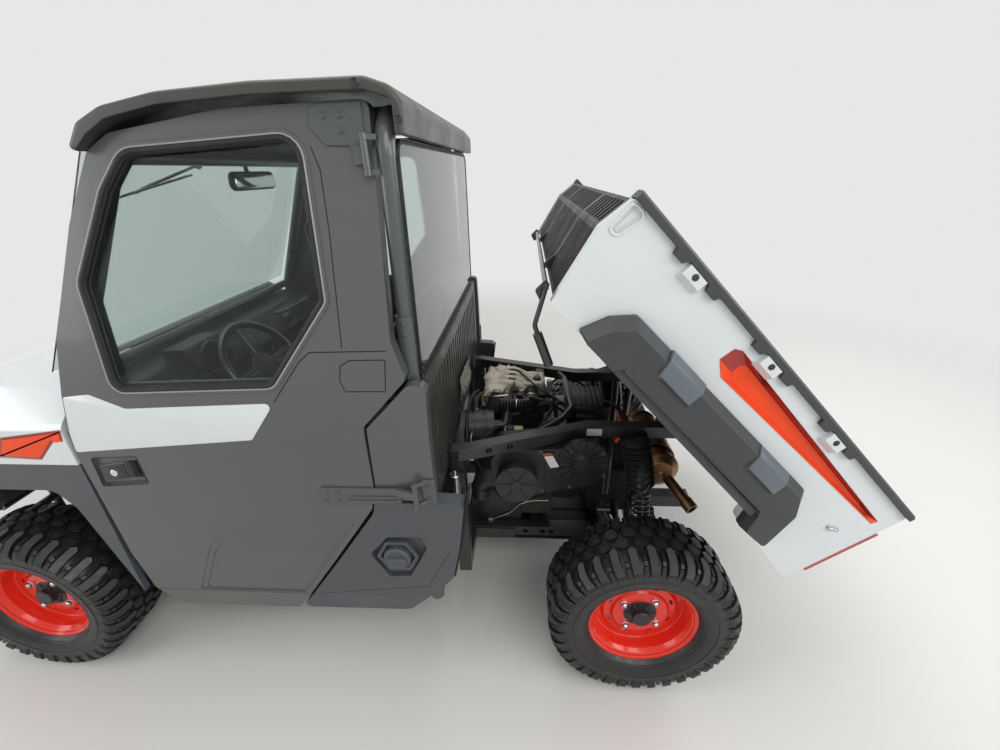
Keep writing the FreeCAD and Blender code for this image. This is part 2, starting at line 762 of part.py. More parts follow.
def steering_wheel():
    way = column_way()
    ring = Part.makeTorus(WHEEL_RIM_R, WHEEL_GRIP_R, WHEEL_CENTRE, way)
    hub = rod(WHEEL_CENTRE - way * (HUB_DEPTH - SEAT_GAP), WHEEL_CENTRE - way * 4.0, 44.0)
    pieces = [ring, hub]
    across = V(0, 1, 0)
    up = way.cross(across)
    for angle in (0.0, 180.0, 270.0):
        spoke_way = across * math.cos(math.radians(angle)) + up * math.sin(math.radians(angle))
        pieces.append(rod(WHEEL_CENTRE - way * 18.0, WHEEL_CENTRE + spoke_way * WHEEL_RIM_R, 9.0))
    return fuse(pieces)


# Roll cage

def cage_front_cross(clearance):
    return rod(V(POST_FRONT_X, -650.0, 1262.0), V(POST_FRONT_X, 650.0, 1262.0), CAGE_R - 3.0 + clearance)


SLEEVE_Z = (1268.0, 1456.0)


def roll_cage():
    """A rear hoop, two bent front pillars that run back as roof rails, and cross tubes."""
    corners = ((1, OUTRIGGER_Z), (1, CAGE_TOP_Z), (-1, CAGE_TOP_Z), (-1, OUTRIGGER_Z))
    pieces = [bent_tube([V(POST_X, s * POST_Y, z) for s, z in corners], POST_R, 90.0)]
    for side in (1.0, -1.0):
        rail = [
            V(POST_FRONT_X, side * 615.0, OUTRIGGER_Z), V(POST_FRONT_X, side * 650.0, 1262.0),
            V(541.0, side * ROOF_RAIL_Y, CAGE_TOP_Z - 100.0), V(420.0, side * ROOF_RAIL_Y, CAGE_TOP_Z - 30.0),
            V(POST_X, side * ROOF_RAIL_Y, CAGE_TOP_Z),
        ]
        pieces.append(bent_tube(rail, CAGE_R, 70.0))
    crossings = (
        (500.0, ROOF_RAIL_Y, CAGE_TOP_Z - 76.0), (POST_X, POST_Y, 1240.0),
        (120.0, ROOF_RAIL_Y, CAGE_TOP_Z - 18.0)
    )
    for x, y, z in crossings:
        pieces.append(rod(V(x, -y, z), V(x, y, z), CAGE_R - 3.0))
    pieces.append(cage_front_cross(0.0))
    for x, y in ((POST_X, POST_Y), (POST_FRONT_X, 615.0)):
        pieces.append(rod(V(x, -y, OUTRIGGER_Z), V(x, y, OUTRIGGER_Z), OUTRIGGER_R))
    low, high = SLEEVE_Z
    for side in (1.0, -1.0):
        sleeve = rod(V(POST_X, side * POST_Y, low), V(POST_X, side * POST_Y, high), POST_R + 5.0)
        pieces.append(sleeve.cut(box(POST_X - 60.0, POST_X - POST_R, -700.0, 700.0, low - 1.0, high + 1.0)))
    return fuse(pieces)


# Frame

FRAME_FRONT_X = 1560.0
ENGINE_FEET_X = (-620.0, -440.0)
REAR_POST_X = (-350.0, -300.0)
CROSS_X = (-1180.0, -1080.0, -920.0, -620.0, -440.0, 300.0, 830.0, 1240.0, 1360.0, 1540.0)
CASE_HALF = 120.0
CVT_INNER_Y = 200.0
LUG_REACH = 18.0

# Round holes through the rails
RAIL_HOLE_R = 12.0
SIDE_PLATE = 10.0
LOW_RAIL_HOLES = (-580.0, -660.0, -700.0)
HIGH_RAIL_HOLES = (-440.0, -520.0)

# Trailer receiver at the frame's rear, a two inch square socket
HITCH_X = (-1400.0, -1195.0)
HITCH_HALF = 31.75
HITCH_BORE = 25.4
HITCH_PIN_R = 8.1
HITCH_PIN_BACK = 34.0


def rail_box(x0, x1, y, z0, z1):
    """A square bar along X on each side, centred on plus and minus y."""
    half = RAIL / 2.0
    return [box(x0, x1, s * y - half, s * y + half, z0, z1) for s in (1.0, -1.0)]


def main_frame():
    """The ladder under the vehicle, with the trailer receiver at its rear."""
    half = RAIL / 2.0
    low0, low1 = LOW_RAIL_Z - half, LOW_RAIL_TOP
    pieces = rail_box(-1200.0, FRAME_FRONT_X, LOW_RAIL_Y, low0, low1)
    pieces.append(
        box(REAR_POST_X[0], REAR_POST_X[1], -HIGH_RAIL_Y - half, HIGH_RAIL_Y + half, low0, CROSS_TOP)
    )
    for x in CROSS_X:
        pieces.append(box(x - 20.0, x + 20.0, -LOW_RAIL_Y, LOW_RAIL_Y, low0 + 5.0, CROSS_TOP))
    x0, x1 = HITCH_X
    pieces.append(box(x0, x1, -HITCH_HALF, HITCH_HALF, LOW_RAIL_Z - HITCH_HALF, LOW_RAIL_Z + HITCH_HALF))
    for s in (1.0, -1.0):
        y0, y1 = sorted((s * LOW_RAIL_Y, s * (LOW_RAIL_Y + half + SIDE_PLATE)))
        pieces.append(box(-532.0, REAR_POST_X[0], y0, y1, low0 - 6.0, CROSS_TOP))
    frame = fuse(pieces)
    for x in LOW_RAIL_HOLES:
        frame = frame.cut(
            rod(V(x, -LOW_RAIL_Y - RAIL, LOW_RAIL_Z), V(x, LOW_RAIL_Y + RAIL, LOW_RAIL_Z), RAIL_HOLE_R)
        )
    frame = frame.cut(
        box(x0 - 1.0, x1 - 20.0, -HITCH_BORE, HITCH_BORE, LOW_RAIL_Z - HITCH_BORE, LOW_RAIL_Z + HITCH_BORE)
    )
    pin_start = V(x0 + HITCH_PIN_BACK, -HITCH_HALF - 1.0, LOW_RAIL_Z)
    return frame.cut(rod(pin_start, pin_start + V(0, 2.0 * HITCH_HALF + 2.0, 0), HITCH_PIN_R))


def high_rail_y(x):
    """Centre line of a raised rail, which runs in towards the rear."""
    share = (x - HIGH_RAIL_BEND_X) / (HIGH_RAIL_FRONT_X - HIGH_RAIL_BEND_X)
    return REAR_RAIL_Y + (HIGH_RAIL_Y - REAR_RAIL_Y) * min(1.0, max(0.0, share))


BRACE_X = (-1045.0, -930.0)
BRACE_R = 17.0
HOOP_Z = 858.0
HOOP_ENDS_X = (-590.0, -740.0)
HOOP = [(-735.0, 197.0), (-783.0, 105.0), (-775.0, -200.0)]


def rear_frame():
    """The raised rails that the bed tips on, their posts, braces and the hoop over the gear case."""
    half = RAIL / 2.0
    base = LOW_RAIL_TOP + SEAT_GAP
    high0 = HIGH_RAIL_TOP_Z - RAIL
    xs = (REAR_POST_X[1], HIGH_RAIL_FRONT_X, HIGH_RAIL_BEND_X, BED_HINGE_X + 10.0)
    plan = [(x, high_rail_y(x) + half) for x in xs] + [(x, high_rail_y(x) - half) for x in reversed(xs)]
    pieces = both(plan_prism(plan, high0, HIGH_RAIL_TOP_Z))
    pieces += rail_box(REAR_POST_X[0], REAR_POST_X[1], HIGH_RAIL_Y, CROSS_TOP + SEAT_GAP, high0 + 5.0)
    braces = []
    for x in BRACE_X:
        braces += both(rod(V(x, LOW_RAIL_Y + 5, base - 15.0), V(x, REAR_RAIL_Y - 5, high0 + 8), BRACE_R))
        pieces += both(
            box(
                x - 12.0, x + 12.0, LOW_RAIL_Y + 10.0, UPPER_PIVOT_Y - PIVOT_R - SEAT_GAP,
                UPPER_PIVOT_Z - 12.0, UPPER_PIVOT_Z + 12.0
            )
        )
    rear_ear = (REAR_AXLE_X - UPPER_SPREAD, BRACE_X[0])
    pieces += both(
        box(
            rear_ear[0], rear_ear[1], UPPER_PIVOT_Y - 50.0, UPPER_PIVOT_Y - PIVOT_R - SEAT_GAP,
            UPPER_PIVOT_Z - 12.0, UPPER_PIVOT_Z + 12.0
        )
    )
    foot_x, foot_z = LIFT_FOOT
    braces.append(rod(V(foot_x, -LOW_RAIL_Y - 5, base - 15.0), V(foot_x, -305.0, foot_z), BRACE_R))
    pieces.append(rod(V(foot_x, -305.0, foot_z), V(foot_x, -REAR_RAIL_Y, high0 + 8), BRACE_R))
    under = box(-1200.0, -800.0, -HIGH_RAIL_Y, HIGH_RAIL_Y, base - 60.0, base)
    pieces += [brace.cut(under) for brace in braces]
    for s in (1.0, -1.0):
        hinge = (s * (REAR_RAIL_Y - half), s * (REAR_RAIL_Y + half))
        pieces.append(
            rod(V(BED_HINGE_X, hinge[0], BED_HINGE_Z), V(BED_HINGE_X, hinge[1], BED_HINGE_Z), 20.0)
        )
    pieces.append(box(-1200.0, -1160.0, -REAR_RAIL_Y, REAR_RAIL_Y, high0 + 5.0, HIGH_RAIL_TOP_Z - 5.0))
    left_x, right_x = HOOP_ENDS_X
    hoop = [(left_x, high_rail_y(left_x))] + HOOP + [(right_x, -high_rail_y(right_x))]
    pieces.append(bent_tube([V(x, y, HOOP_Z) for x, y in hoop], 13.0, 45.0))
    pieces.append(rod(V(foot_x, -300.0, foot_z), V(foot_x, LIFT_Y + 25.0, foot_z), 16.0))
    pieces.append(rod(V(foot_x, -300.0, foot_z), V(foot_x, LIFT_Y - 22.0, foot_z), PIN_R))
    pieces += shock_lugs(REAR_AXLE_X + REAR_SHOCK_OFFSET, REAR_SHOCK_TOP, REAR_RAIL_Y + half - 1.0)
    frame = fuse(pieces)
    for s in (1.0, -1.0):
        ends = (s * (REAR_RAIL_Y - half - 5), s * (REAR_RAIL_Y + half + 5))
        bore = rod(
            V(BED_HINGE_X, ends[0], BED_HINGE_Z), V(BED_HINGE_X, ends[1], BED_HINGE_Z),
            PIN_R + PIN_CLEARANCE
        )
        frame = frame.cut(bore)
    for x in HIGH_RAIL_HOLES:
        frame = frame.cut(
            rod(
                V(x, -HIGH_RAIL_Y - RAIL, high0 + half), V(x, HIGH_RAIL_Y + RAIL, high0 + half), RAIL_HOLE_R
            )
        )
    return frame


def front_frame():
    """Four posts on the ladder that carry the front dampers and the front body."""
    half = RAIL / 2.0
    base = LOW_RAIL_TOP + SEAT_GAP
    tower_low, tower_high = FRONT_AXLE_X - 170.0, FRONT_AXLE_X + 170.0
    pieces = []
    for x in (tower_low, tower_high - 40.0):
        pieces += rail_box(x, x + 40.0, LOW_RAIL_Y, base, 780.0)
    pieces += rail_box(tower_low, tower_high, LOW_RAIL_Y, 760.0, 800.0)
    pieces.append(box(tower_low, tower_low + 40.0, -LOW_RAIL_Y, LOW_RAIL_Y, 760.0, 800.0))
    body_side = SKIN[2][1] - BODY_SHEET - SEAT_GAP
    pieces.append(box(FRONT_AXLE_X - 20.0, FRONT_AXLE_X + 20.0, -body_side, body_side, 905.0, 935.0))
    pieces += rail_box(FRONT_AXLE_X - 20.0, FRONT_AXLE_X + 20.0, LOW_RAIL_Y, 795.0, 910.0)
    pieces += shock_lugs(FRONT_AXLE_X, FRONT_SHOCK_TOP, LOW_RAIL_Y + half - 1.0)
    return fuse(pieces)


def shock_lugs(x, top, rail_y):
    """Two plates each side that hold a damper's top eye."""
    shapes = []
    y, z = top
    outer = y - LUG_REACH if y < rail_y else y + LUG_REACH
    y0, y1 = sorted((outer, rail_y))
    for s in (1.0, -1.0):
        near = x + s * (SHOCK_EYE_HALF + SEAT_GAP)
        x0, x1 = sorted((near, near + s * 8.0))
        plate = box(x0, x1, y0, y1, z - 16.0, z + 16.0)
        shapes += both(plate)
    return shapes


# Suspension and drive

ARM_R = 12.0
PIVOT_R = 18.0
TIP_HEIGHT = 28.0
UPPER_SPREAD = 90.0
UPPER_PIVOT_Y = 345.0
UPPER_PIVOT_Z = 500.0
HOUSING_REACH = 20.0
HUB_DEEP = 50.0
BOOT_BACK = 12.0
STEER_GAP = 10.0

def arm(axle_x, spread, inner_y, inner_z, tip_z0, tip_z1):
    """A wishbone from two frame pivots to the boss above or below an upright."""
    pieces = [rod(V(axle_x, KINGPIN_Y, tip_z0), V(axle_x, KINGPIN_Y, tip_z1), ARM_TIP)]
    for x in (axle_x - spread, axle_x + spread):
        foot = V(x, inner_y, inner_z)
        pieces.append(rod(foot, V(axle_x, KINGPIN_Y - 12.0, (tip_z0 + tip_z1) / 2.0), ARM_R))
        pieces.append(rod(foot - V(28, 0, 0), foot + V(28, 0, 0), PIVOT_R))
    return pieces


def lower_arm(axle_x):
    inner = LOW_RAIL_Y + RAIL / 2 + PIVOT_R + SEAT_GAP
    high = UPRIGHT_LOW_Z - SEAT_GAP
    pieces = arm(axle_x, 120.0, inner, LOW_RAIL_Z - 8.0, high - TIP_HEIGHT, high)
    return fuse(pieces)


def upper_arm(axle_x, offset):
    """The upper wishbone carries the damper on a plate between its two legs."""
    low = UPRIGHT_HIGH_Z + SEAT_GAP
    pieces = arm(axle_x, UPPER_SPREAD, UPPER_PIVOT_Y, UPPER_PIVOT_Z, low, low + TIP_HEIGHT)
    y, z = SHOCK_FOOT
    seat = z - SHOCK_EYE_R - SEAT_GAP
    pieces.append(
        box(axle_x + offset - 22.0, axle_x + offset + 22.0, y - 18.0, y + 14.0, seat - 30.0, seat)
    )
    pieces.append(box(axle_x - 60.0, axle_x + 60.0, y - 12.0, y + 8.0, seat - 30.0, seat - 16.0))
    return fuse(pieces)


def suspension_arms():
    shapes = []
    for axle_x, offset in ((REAR_AXLE_X, REAR_SHOCK_OFFSET), (FRONT_AXLE_X, 0.0)):
        shapes += both(lower_arm(axle_x)) + both(upper_arm(axle_x, offset))
    return shapes


def knuckle(axle_x):
    """Upright with its bearing housing, on the left side."""
    upright = rod(V(axle_x, KINGPIN_Y, UPRIGHT_LOW_Z), V(axle_x, KINGPIN_Y, UPRIGHT_HIGH_Z), UPRIGHT_R)
    face = TRACK_HALF + DISC_OFFSET - HUB_DEEP - HUB_FACE_GAP
    housing = rod(V(axle_x, KINGPIN_Y - HOUSING_REACH, AXLE_Z), V(axle_x, face, AXLE_Z), 46.0)
    return fuse([upright, housing])


def coil(start, end, radius, wire, turns):
    """A spring wire wound between two points."""
    length = (end - start).Length
    helix = Part.Wire(Part.makeHelix(length / turns, length, radius).Edges)
    ring = Part.Wire([Part.makeCircle(wire, V(radius, 0, 0), V(0, 1, 0))])
    spring = helix.makePipeShell([ring], True, True)
    turn = FreeCAD.Rotation(V(0, 0, 1), end - start)
    spring.Placement = FreeCAD.Placement(start, turn)
    return spring


# Outline of the damper above its coil, columns are share of the length and radius
DAMPER = [(0.40, 12.0), (0.40, SHOCK_R), (0.42, SHOCK_R), (0.42, 24.0)]
BELLOWS = (0.46, 0.92, 6, 24.0, 34.0)
COIL_R = 32.0
COIL_WIRE_R = 5.5
COIL_TURNS = 5


def shock(x, top):
    """A damper: a coil between two seats below, and a ribbed sleeve above."""
    start = V(x, SHOCK_FOOT[0], SHOCK_FOOT[1])
    end = V(x, top[0], top[1])
    way = end - start
    way.normalize()
    length = (end - start).Length
    first, last, ribs, low_r, high_r = BELLOWS
    sleeve = [(r, share * length) for share, r in DAMPER]
    for k in range(ribs):
        step = (last - first) / ribs
        sleeve += [(low_r, (first + k * step) * length), (high_r, (first + (k + 0.5) * step) * length)]
    sleeve += [
        (low_r, last * length), (SHOCK_EYE_R - 3.0, last * length), (SHOCK_EYE_R - 3.0, length),
        (0.0, length), (0.0, 0.4 * length)
    ]
    body = turned(sleeve, V(0, 0, 0))
    body.Placement = FreeCAD.Placement(start, FreeCAD.Rotation(V(0, 1, 0), way))
    seat_low = start + way * 34.0
    seat_high = start + way * (0.40 * length)
    pieces = [body, rod(start, seat_high + way * 4.0, 12.0), rod(seat_low - way * 8.0, seat_low, SHOCK_R)]
    pieces.append(coil(seat_low - way * 2.0, seat_high + way * 2.0, COIL_R, COIL_WIRE_R, COIL_TURNS))
    across = V(SHOCK_EYE_HALF, 0, 0)
    pieces.append(rod(start - across, start + across, SHOCK_EYE_R))
    pieces.append(rod(end - across, end + across, SHOCK_EYE_R))
    return fuse(pieces)


def shocks():
    return both(
        shock(REAR_AXLE_X + REAR_SHOCK_OFFSET, REAR_SHOCK_TOP)
    ) + both(shock(FRONT_AXLE_X, FRONT_SHOCK_TOP))


def half_shafts():
    shapes = []
    for axle_x, end_gap in ((REAR_AXLE_X, SEAT_GAP), (FRONT_AXLE_X, STEER_GAP)):
        start = V(axle_x, CASE_HALF + SEAT_GAP, AXLE_Z)
        end = V(axle_x, KINGPIN_Y - UPRIGHT_R - end_gap, AXLE_Z)
        shaft = rod(start, end, 13.0)
        inner = Part.makeCone(28.0, 16.0, 80.0, start, V(0, 1, 0))
        outer = Part.makeCone(34.0, 16.0, 70.0, end - V(0, BOOT_BACK, 0), V(0, -1, 0))
        shapes += both(fuse([shaft, inner, outer]))
    return shapes


def transaxle():
    low = CROSS_TOP + SEAT_GAP
    shapes = []
    for axle_x, reach, top in ((REAR_AXLE_X, 130.0, 540.0), (FRONT_AXLE_X, 95.0, 430.0)):
        case = box(axle_x - reach, axle_x + reach, -CASE_HALF, CASE_HALF, low, top)
        shapes.append(case.makeFillet(24.0, [e for e in case.Edges if e.BoundBox.ZMax > low + 1.0]))
    return shapes


ENGINE_TOP_Z = 690.0
HEAD = (-680.0, -385.0, -300.0, -30.0)
HEAD_TOP_Z = 790.0
FIN_Z = (705.0, 725.0, 745.0, 765.0)


def engine():
    """Block with its head and the cooling fins on the head's sides."""
    low = CROSS_TOP + SEAT_GAP
    block = box(-700.0, -360.0, -400.0, CVT_INNER_Y - SEAT_GAP, low + 40.0, ENGINE_TOP_Z)
    x0, x1, y0, y1 = HEAD
    pieces = [block, box(x0, x1, y0, y1, ENGINE_TOP_Z, HEAD_TOP_Z)]
    for z in FIN_Z:
        pieces.append(box(x0 - 8.0, x1 + 8.0, y0 - 8.0, y1 + 8.0, z, z + 6.0))
    pieces += [
        box(x - 25.0, x + 25.0, y - 25.0, y + 25.0, low, low + 41.0) for x in ENGINE_FEET_X
        for y in (-150.0, 100.0)
    ]
    return fuse(pieces)


# Lobes of the cast intake: x from and to, y from and to, corner radius
LOBES = [(-506.0, -378.0, -335.0, -62.0, 26.0), (-676.0, -546.0, -272.0, -132.0, 16.0)]
LOBE_Z = (800.0, 870.0)
DUCT_Z = 838.0


def intake():
    """Two cast lobes over the head, on a flange, with runners down to it."""
    low = HEAD_TOP_Z + SEAT_GAP
    pieces = [box(-640.0, -420.0, -260.0, -100.0, low, low + 14.0)]
    for x0, x1, y0, y1, r in LOBES:
        lobe = box(x0, x1, y0, y1, *LOBE_Z)
        pieces.append(
            lobe.makeFillet(
                r, [e for e in lobe.Edges if e.BoundBox.ZLength > 10.0 or e.BoundBox.ZMin > LOBE_Z[1] - 1.0]
            )
        )
    for y in (-245.0, -200.0, -155.0):
        pieces.append(
            rod(V(LOBES[0][0] + 10.0, y, DUCT_Z - 6.0), V(LOBES[1][1] - 10.0, y, DUCT_Z - 6.0), 20.0)
        )
    return fuse(pieces)


DRUM = V(-302.0, 121.0, 0.0)
DRUM_REAR = V(-435.0, 104.0, 0.0)
DRUM_R = 76.0
DUCT_R = 28.0


def air_box():
    """Drum behind the cab, and the ribbed duct that bends over to the intake."""
    up = V(0, 0, ENGINE_TOP_Z + SEAT_GAP + DRUM_R)
    front, rear = DRUM + up, DRUM_REAR + up
    way = rear - front
    way.normalize()
    pieces = [rod(front, rear, DRUM_R - 6.0)]
    for along in (0.0, 50.0, 100.0):
        pieces.append(rod(front + way * along, front + way * (along + 36.0), DRUM_R))
    neck = [rear - way * 6.0, rear + way * 50.0, V(-500.0, 55.0, DUCT_Z)]
    pieces.append(bent_tube(neck, DUCT_R, 20.0))
    lobe_a, lobe_b = LOBES[0][3] + SEAT_GAP, LOBES[1][3] + SEAT_GAP
    duct = [
        V(-440.0, lobe_a, DUCT_Z), V(-440.0, 45.0, DUCT_Z), V(-606.0, 45.0, DUCT_Z),
        V(-606.0, lobe_b, DUCT_Z)
    ]
    pieces.append(bent_tube(duct, DUCT_R, 50.0))
    for y in (-50.0, -75.0, -100.0):
        pieces.append(rod(V(-606.0, y, DUCT_Z), V(-606.0, y + 10.0, DUCT_Z), DUCT_R + 4.0))
    for x in (-470.0, -525.0):
        pieces.append(rod(V(x, 45.0, DUCT_Z), V(x - 12.0, 45.0, DUCT_Z), DUCT_R + 4.0))
    return fuse(pieces)


def reservoir():
    """Coolant bottle with a screw cap, beside the head."""
    bottle = box(-572.0, -484.0, 146.0, 197.0, ENGINE_TOP_Z + SEAT_GAP, 756.0)
    bottle = bottle.makeFillet(9.0, [e for e in bottle.Edges if e.BoundBox.ZMax > 700.0])
    return fuse([bottle, rod(V(-505.0, 171.0, 750.0), V(-505.0, 171.0, 776.0), 17.0)])


CVT_FACE_Y = 372.0
CVT_CAP = (-545.0, 692.0)
CVT_CAP_R = 84.0
CVT_CAP_Y = 436.0
CVT_FAN = (-805.0, 753.0)
CVT_FAN_R = 104.0
CVT_OUTLINE = [
    (-450.0, 600.0, 60.0), (-440.0, 795.0, 50.0), (-700.0, 818.0, 20.0), (-870.0, 818.0, 60.0),
    (-908.0, 740.0, 60.0), (-860.0, 650.0, 60.0), (-640.0, 596.0, 40.0)
]


def spoke(centre, angle, near, far, half):
    """A straight rib in the side view, out from a centre."""
    turn = math.radians(angle)
    ux, uz = math.cos(turn), math.sin(turn)
    x, z = centre
    ends = [(near, -half), (far, -half), (far, half), (near, half)]
    return [(x + ux * out + uz * side, z + uz * out - ux * side) for out, side in ends]


def cvt_cover():
    """Belt drive cover: a ribbed case, a finned round end, a spoked cap and an air duct."""
    x, z = CVT_CAP
    face = CVT_FACE_Y - 8.0
    fan_x, fan_z = CVT_FAN
    pieces = [side_prism(CVT_OUTLINE, CVT_INNER_Y, face)]
    pieces.append(rod(V(fan_x, face - 22.0, fan_z), V(fan_x, face, fan_z), CVT_FAN_R))
    pieces.append(Part.makeCone(44.0, 30.0, 16.0, V(fan_x, face - 1.0, fan_z), V(0, 1, 0)))
    for k in range(18):
        pieces.append(
            side_prism(spoke(CVT_FAN, 20.0 * k, 26.0, CVT_FAN_R - 3.0, 3.0), face - 2.0, CVT_FACE_Y)
        )
    for rib_x in (-720.0, -690.0, -660.0):
        pieces.append(box(rib_x - 3.0, rib_x + 3.0, face - 2.0, CVT_FACE_Y, 640.0, 806.0))
    pieces.append(rod(V(x, face - 2.0, z), V(x, CVT_CAP_Y - 12.0, z), CVT_CAP_R - 5.0))
    pieces.append(rod(V(x, CVT_CAP_Y - 28.0, z), V(x, CVT_CAP_Y - 6.0, z), CVT_CAP_R))
    for k in range(6):
        pieces.append(
            side_prism(
                spoke(CVT_CAP, 60.0 * k, 14.0, CVT_CAP_R - 8.0, 4.0), CVT_CAP_Y - 8.0, CVT_CAP_Y - 2.0
            )
        )
    pieces.append(rod(V(x, CVT_CAP_Y - 10.0, z), V(x, CVT_CAP_Y, z), 20.0))
    pieces.append(
        bent_tube([V(-480.0, 325.0, 645.0), V(-392.0, 325.0, 645.0), V(-392.0, 325.0, 552.0)], 38.0, 44.0)
    )
    pieces.append(rod(V(-392.0, 325.0, 600.0), V(-392.0, 325.0, 588.0), 43.0))
    return fuse(pieces)


MUFFLER = V(-1150.0, 60.0, 640.0)
# Half of the silencer's profile, columns are radius and y from its middle
MUFFLER_PROFILE = [
    (0.0, 214.0), (52.0, 210.0, 10.0), (74.0, 192.0, 8.0), (80.0, 188.0), (84.0, 182.0), (84.0, 176.0),
    (78.0, 170.0)
]


def muffler():
    """Silencer with rolled end seams, a heat shield over its top and an open tail pipe."""
    profile = MUFFLER_PROFILE + [
        (corner[0], -corner[1]) + corner[2:] for corner in reversed(MUFFLER_PROFILE)
    ]
    body = turned(profile, MUFFLER)
    inner = 84.0
    shield = turned([(inner, -120.0), (inner + 3.0, -120.0), (inner + 3.0, 120.0), (inner, 120.0)], MUFFLER)
    shield = shield.common(box(-1300.0, MUFFLER.x + 30.0, -400.0, 400.0, MUFFLER.z - 10.0, 900.0))
    pieces = [body, shield]
    for y in (-100.0, 100.0):
        pieces.append(
            rod(
                V(MUFFLER.x, MUFFLER.y + y, MUFFLER.z),
                V(MUFFLER.x - 30.0, MUFFLER.y + y, MUFFLER.z + 80.5), 6.0
            )
        )
    tip_start, tip_end = V(-1170.0, 230.0, 620.0), V(-1252.0, 400.0, 560.0)
    pieces.append(rod(tip_start, tip_end, 22.0))
    pieces.append(rod(tip_end - (tip_end - tip_start) * 0.22, tip_end, 27.0))
    pieces.append(box(-1186.0, -1174.0, 40.0, 80.0, 650.0, HIGH_RAIL_TOP_Z - RAIL + 5.0 - SEAT_GAP))
    return fuse(pieces).cut(
        rod(tip_end - (tip_end - tip_start) * 0.4, tip_end + (tip_end - tip_start) * 0.1, 19.0)
    )


# Front body

NOSE_BACK = 50.0
BODY_SHEET = 24.0
HOOD_REAR_X = 842.0

def nose_plan(depth, rear):
    """The front body seen from above, open or closed at its rear."""
    side = SKIN[2][1] - depth
    front = BUMPER_FRONT_X - NOSE_BACK - depth
    return [(rear, side), (rear, -side), (1500.0, -side, 160.0), (front, -430.0, 80.0),
            (front, 430.0, 80.0), (1500.0, side, 160.0)]


HOOD_LOW_Z = 997.0


def hood_block(depth):
    rear = HOOD_REAR_X
    top = [(rear, HOOD_LOW_Z), (rear, 1292.0 - depth, 6.0), (1150.0, 1266.0 - depth, 200.0),
           (1480.0, 1180.0 - depth, 120.0), (1640.0, 1080.0 - depth, 60.0),
           (BUMPER_FRONT_X - NOSE_BACK - 10.0 - depth, HOOD_LOW_Z)]
    side = SKIN[2][1] - depth
    front = [(side, HOOD_LOW_Z), (side, 1130.0 - depth, 40.0), (640.0 - depth, 1230.0 - depth, 60.0),
             (500.0, 1310.0 - depth, 60.0), (-500.0, 1310.0 - depth, 60.0),
             (-640.0 + depth, 1230.0 - depth, 60.0), (-side, 1130.0 - depth, 40.0), (-side, HOOD_LOW_Z)]
    block = side_prism(top, -900.0, 900.0).common(front_prism(front, rear - 10.0, 1800.0))
    return block.common(plan_prism(nose_plan(depth, rear - 10.0), 900.0, 1400.0))


# Recess in each side of the hood
FENDER_INSERT = [
    (1061.0, 1097.0, 4.0), (842.0, 1128.0, 4.0), (851.0, 1086.0, 4.0), (888.0, 1081.0, 8.0),
    (957.0, 1014.0, 8.0), (1103.0, 1021.0, 4.0)
]
FENDER_DEPTH = 4.0


def hood():
    shell = hood_block(0.0).cut(hood_block(16.0))
    side = SKIN[2][1]
    for y0, y1 in ((side - FENDER_DEPTH, 900.0), (-900.0, -side + FENDER_DEPTH)):
        shell = shell.cut(side_prism(FENDER_INSERT, y0, y1))
    return shell


def front_lower_body():
    top_z = HOOD_LOW_Z - SEAT_GAP
    rear = DOOR_FRONT_X + PANEL_GAP
    shell = plan_prism(nose_plan(0.0, rear), 420.0, top_z).cut(
        plan_prism(nose_plan(BODY_SHEET, rear - 50.0), 400.0, top_z + 10.0)
    )
    arch = [(780.0, 300.0), (838.0, 428.0), (925.0, 817.0, 40.0), (975.0, 893.0, 60.0),
            (1600.0, 893.0, 80.0), (1660.0, 760.0, 60.0), (1640.0, 560.0), (1640.0, 300.0)]
    for y0, y1 in ((400.0, 900.0), (-900.0, -400.0)):
        shell = shell.cut(side_prism(arch, y0, y1))
    shell = shell.cut(box(1640.0, 1800.0, -900.0, 900.0, 300.0, 560.0))
    shell = shell.cut(box(1600.0, 1800.0, -330.0, 330.0, 640.0, 890.0))
    for lamp in headlights(SEAT_GAP):
        shell = shell.cut(lamp)
    bar_x = BUMPER_FRONT_X - NOSE_BACK - BODY_SHEET + 8.0
    bars = [box(bar_x, bar_x + 10.0, -335.0, 335.0, z, z + 14.0) for z in range(670, 880, 42)]
    return fuse([shell] + bars)


def headlights(clearance=0.0):
    front = BUMPER_FRONT_X - NOSE_BACK
    grow = clearance
    lamp = box(
        front - BODY_SHEET - 6.0 - grow, front + 2.0 + grow, 225.0 - grow, 395.0 + grow, 908.0 - grow,
        980.0 + grow
    )
    return both(lamp)


def front_bumper():
    r = 19.0
    x = BUMPER_FRONT_X - r
    pieces = [
        rod(V(x, -430.0, 520.0), V(x, 430.0, 520.0), r), rod(V(x, -380.0, 420.0), V(x, 380.0, 420.0), r)
    ]
    for s in (1.0, -1.0):
        y = s * LOW_RAIL_Y
        leg = [V(FRAME_FRONT_X + SEAT_GAP, y, LOW_RAIL_Z), V(x, y, LOW_RAIL_Z), V(x, y, 520.0)]
        pieces.append(bent_tube(leg, r - 3.0, 60.0))
    return fuse(pieces)


# Wheels

# Block of the tread's centre rows, columns are along the tread and y
CENTRE_BLOCK = [(0.0, 3.0), (25.0, 13.0), (27.0, 34.0), (4.0, 45.0), (-23.0, 38.0), (-26.0, 14.0)]
CENTRE_BLOCK_Y = 24.0
BLOCK_TAPER = 0.9
LUG_TOP = math.sqrt(TYRE_R ** 2 - (27.0 * BLOCK_TAPER) ** 2)

# Bar of the tread's shoulder: its section, columns are inset from the tyre's side and depth
SHOULDER_SECTION = [
    (85.0, 0.0), (37.0, 1.5), (12.0, 14.0), (0.2, 40.0), (3.0, 80.0), (15.0, 86.0), (27.0, 40.0),
    (85.0, 26.0)
]
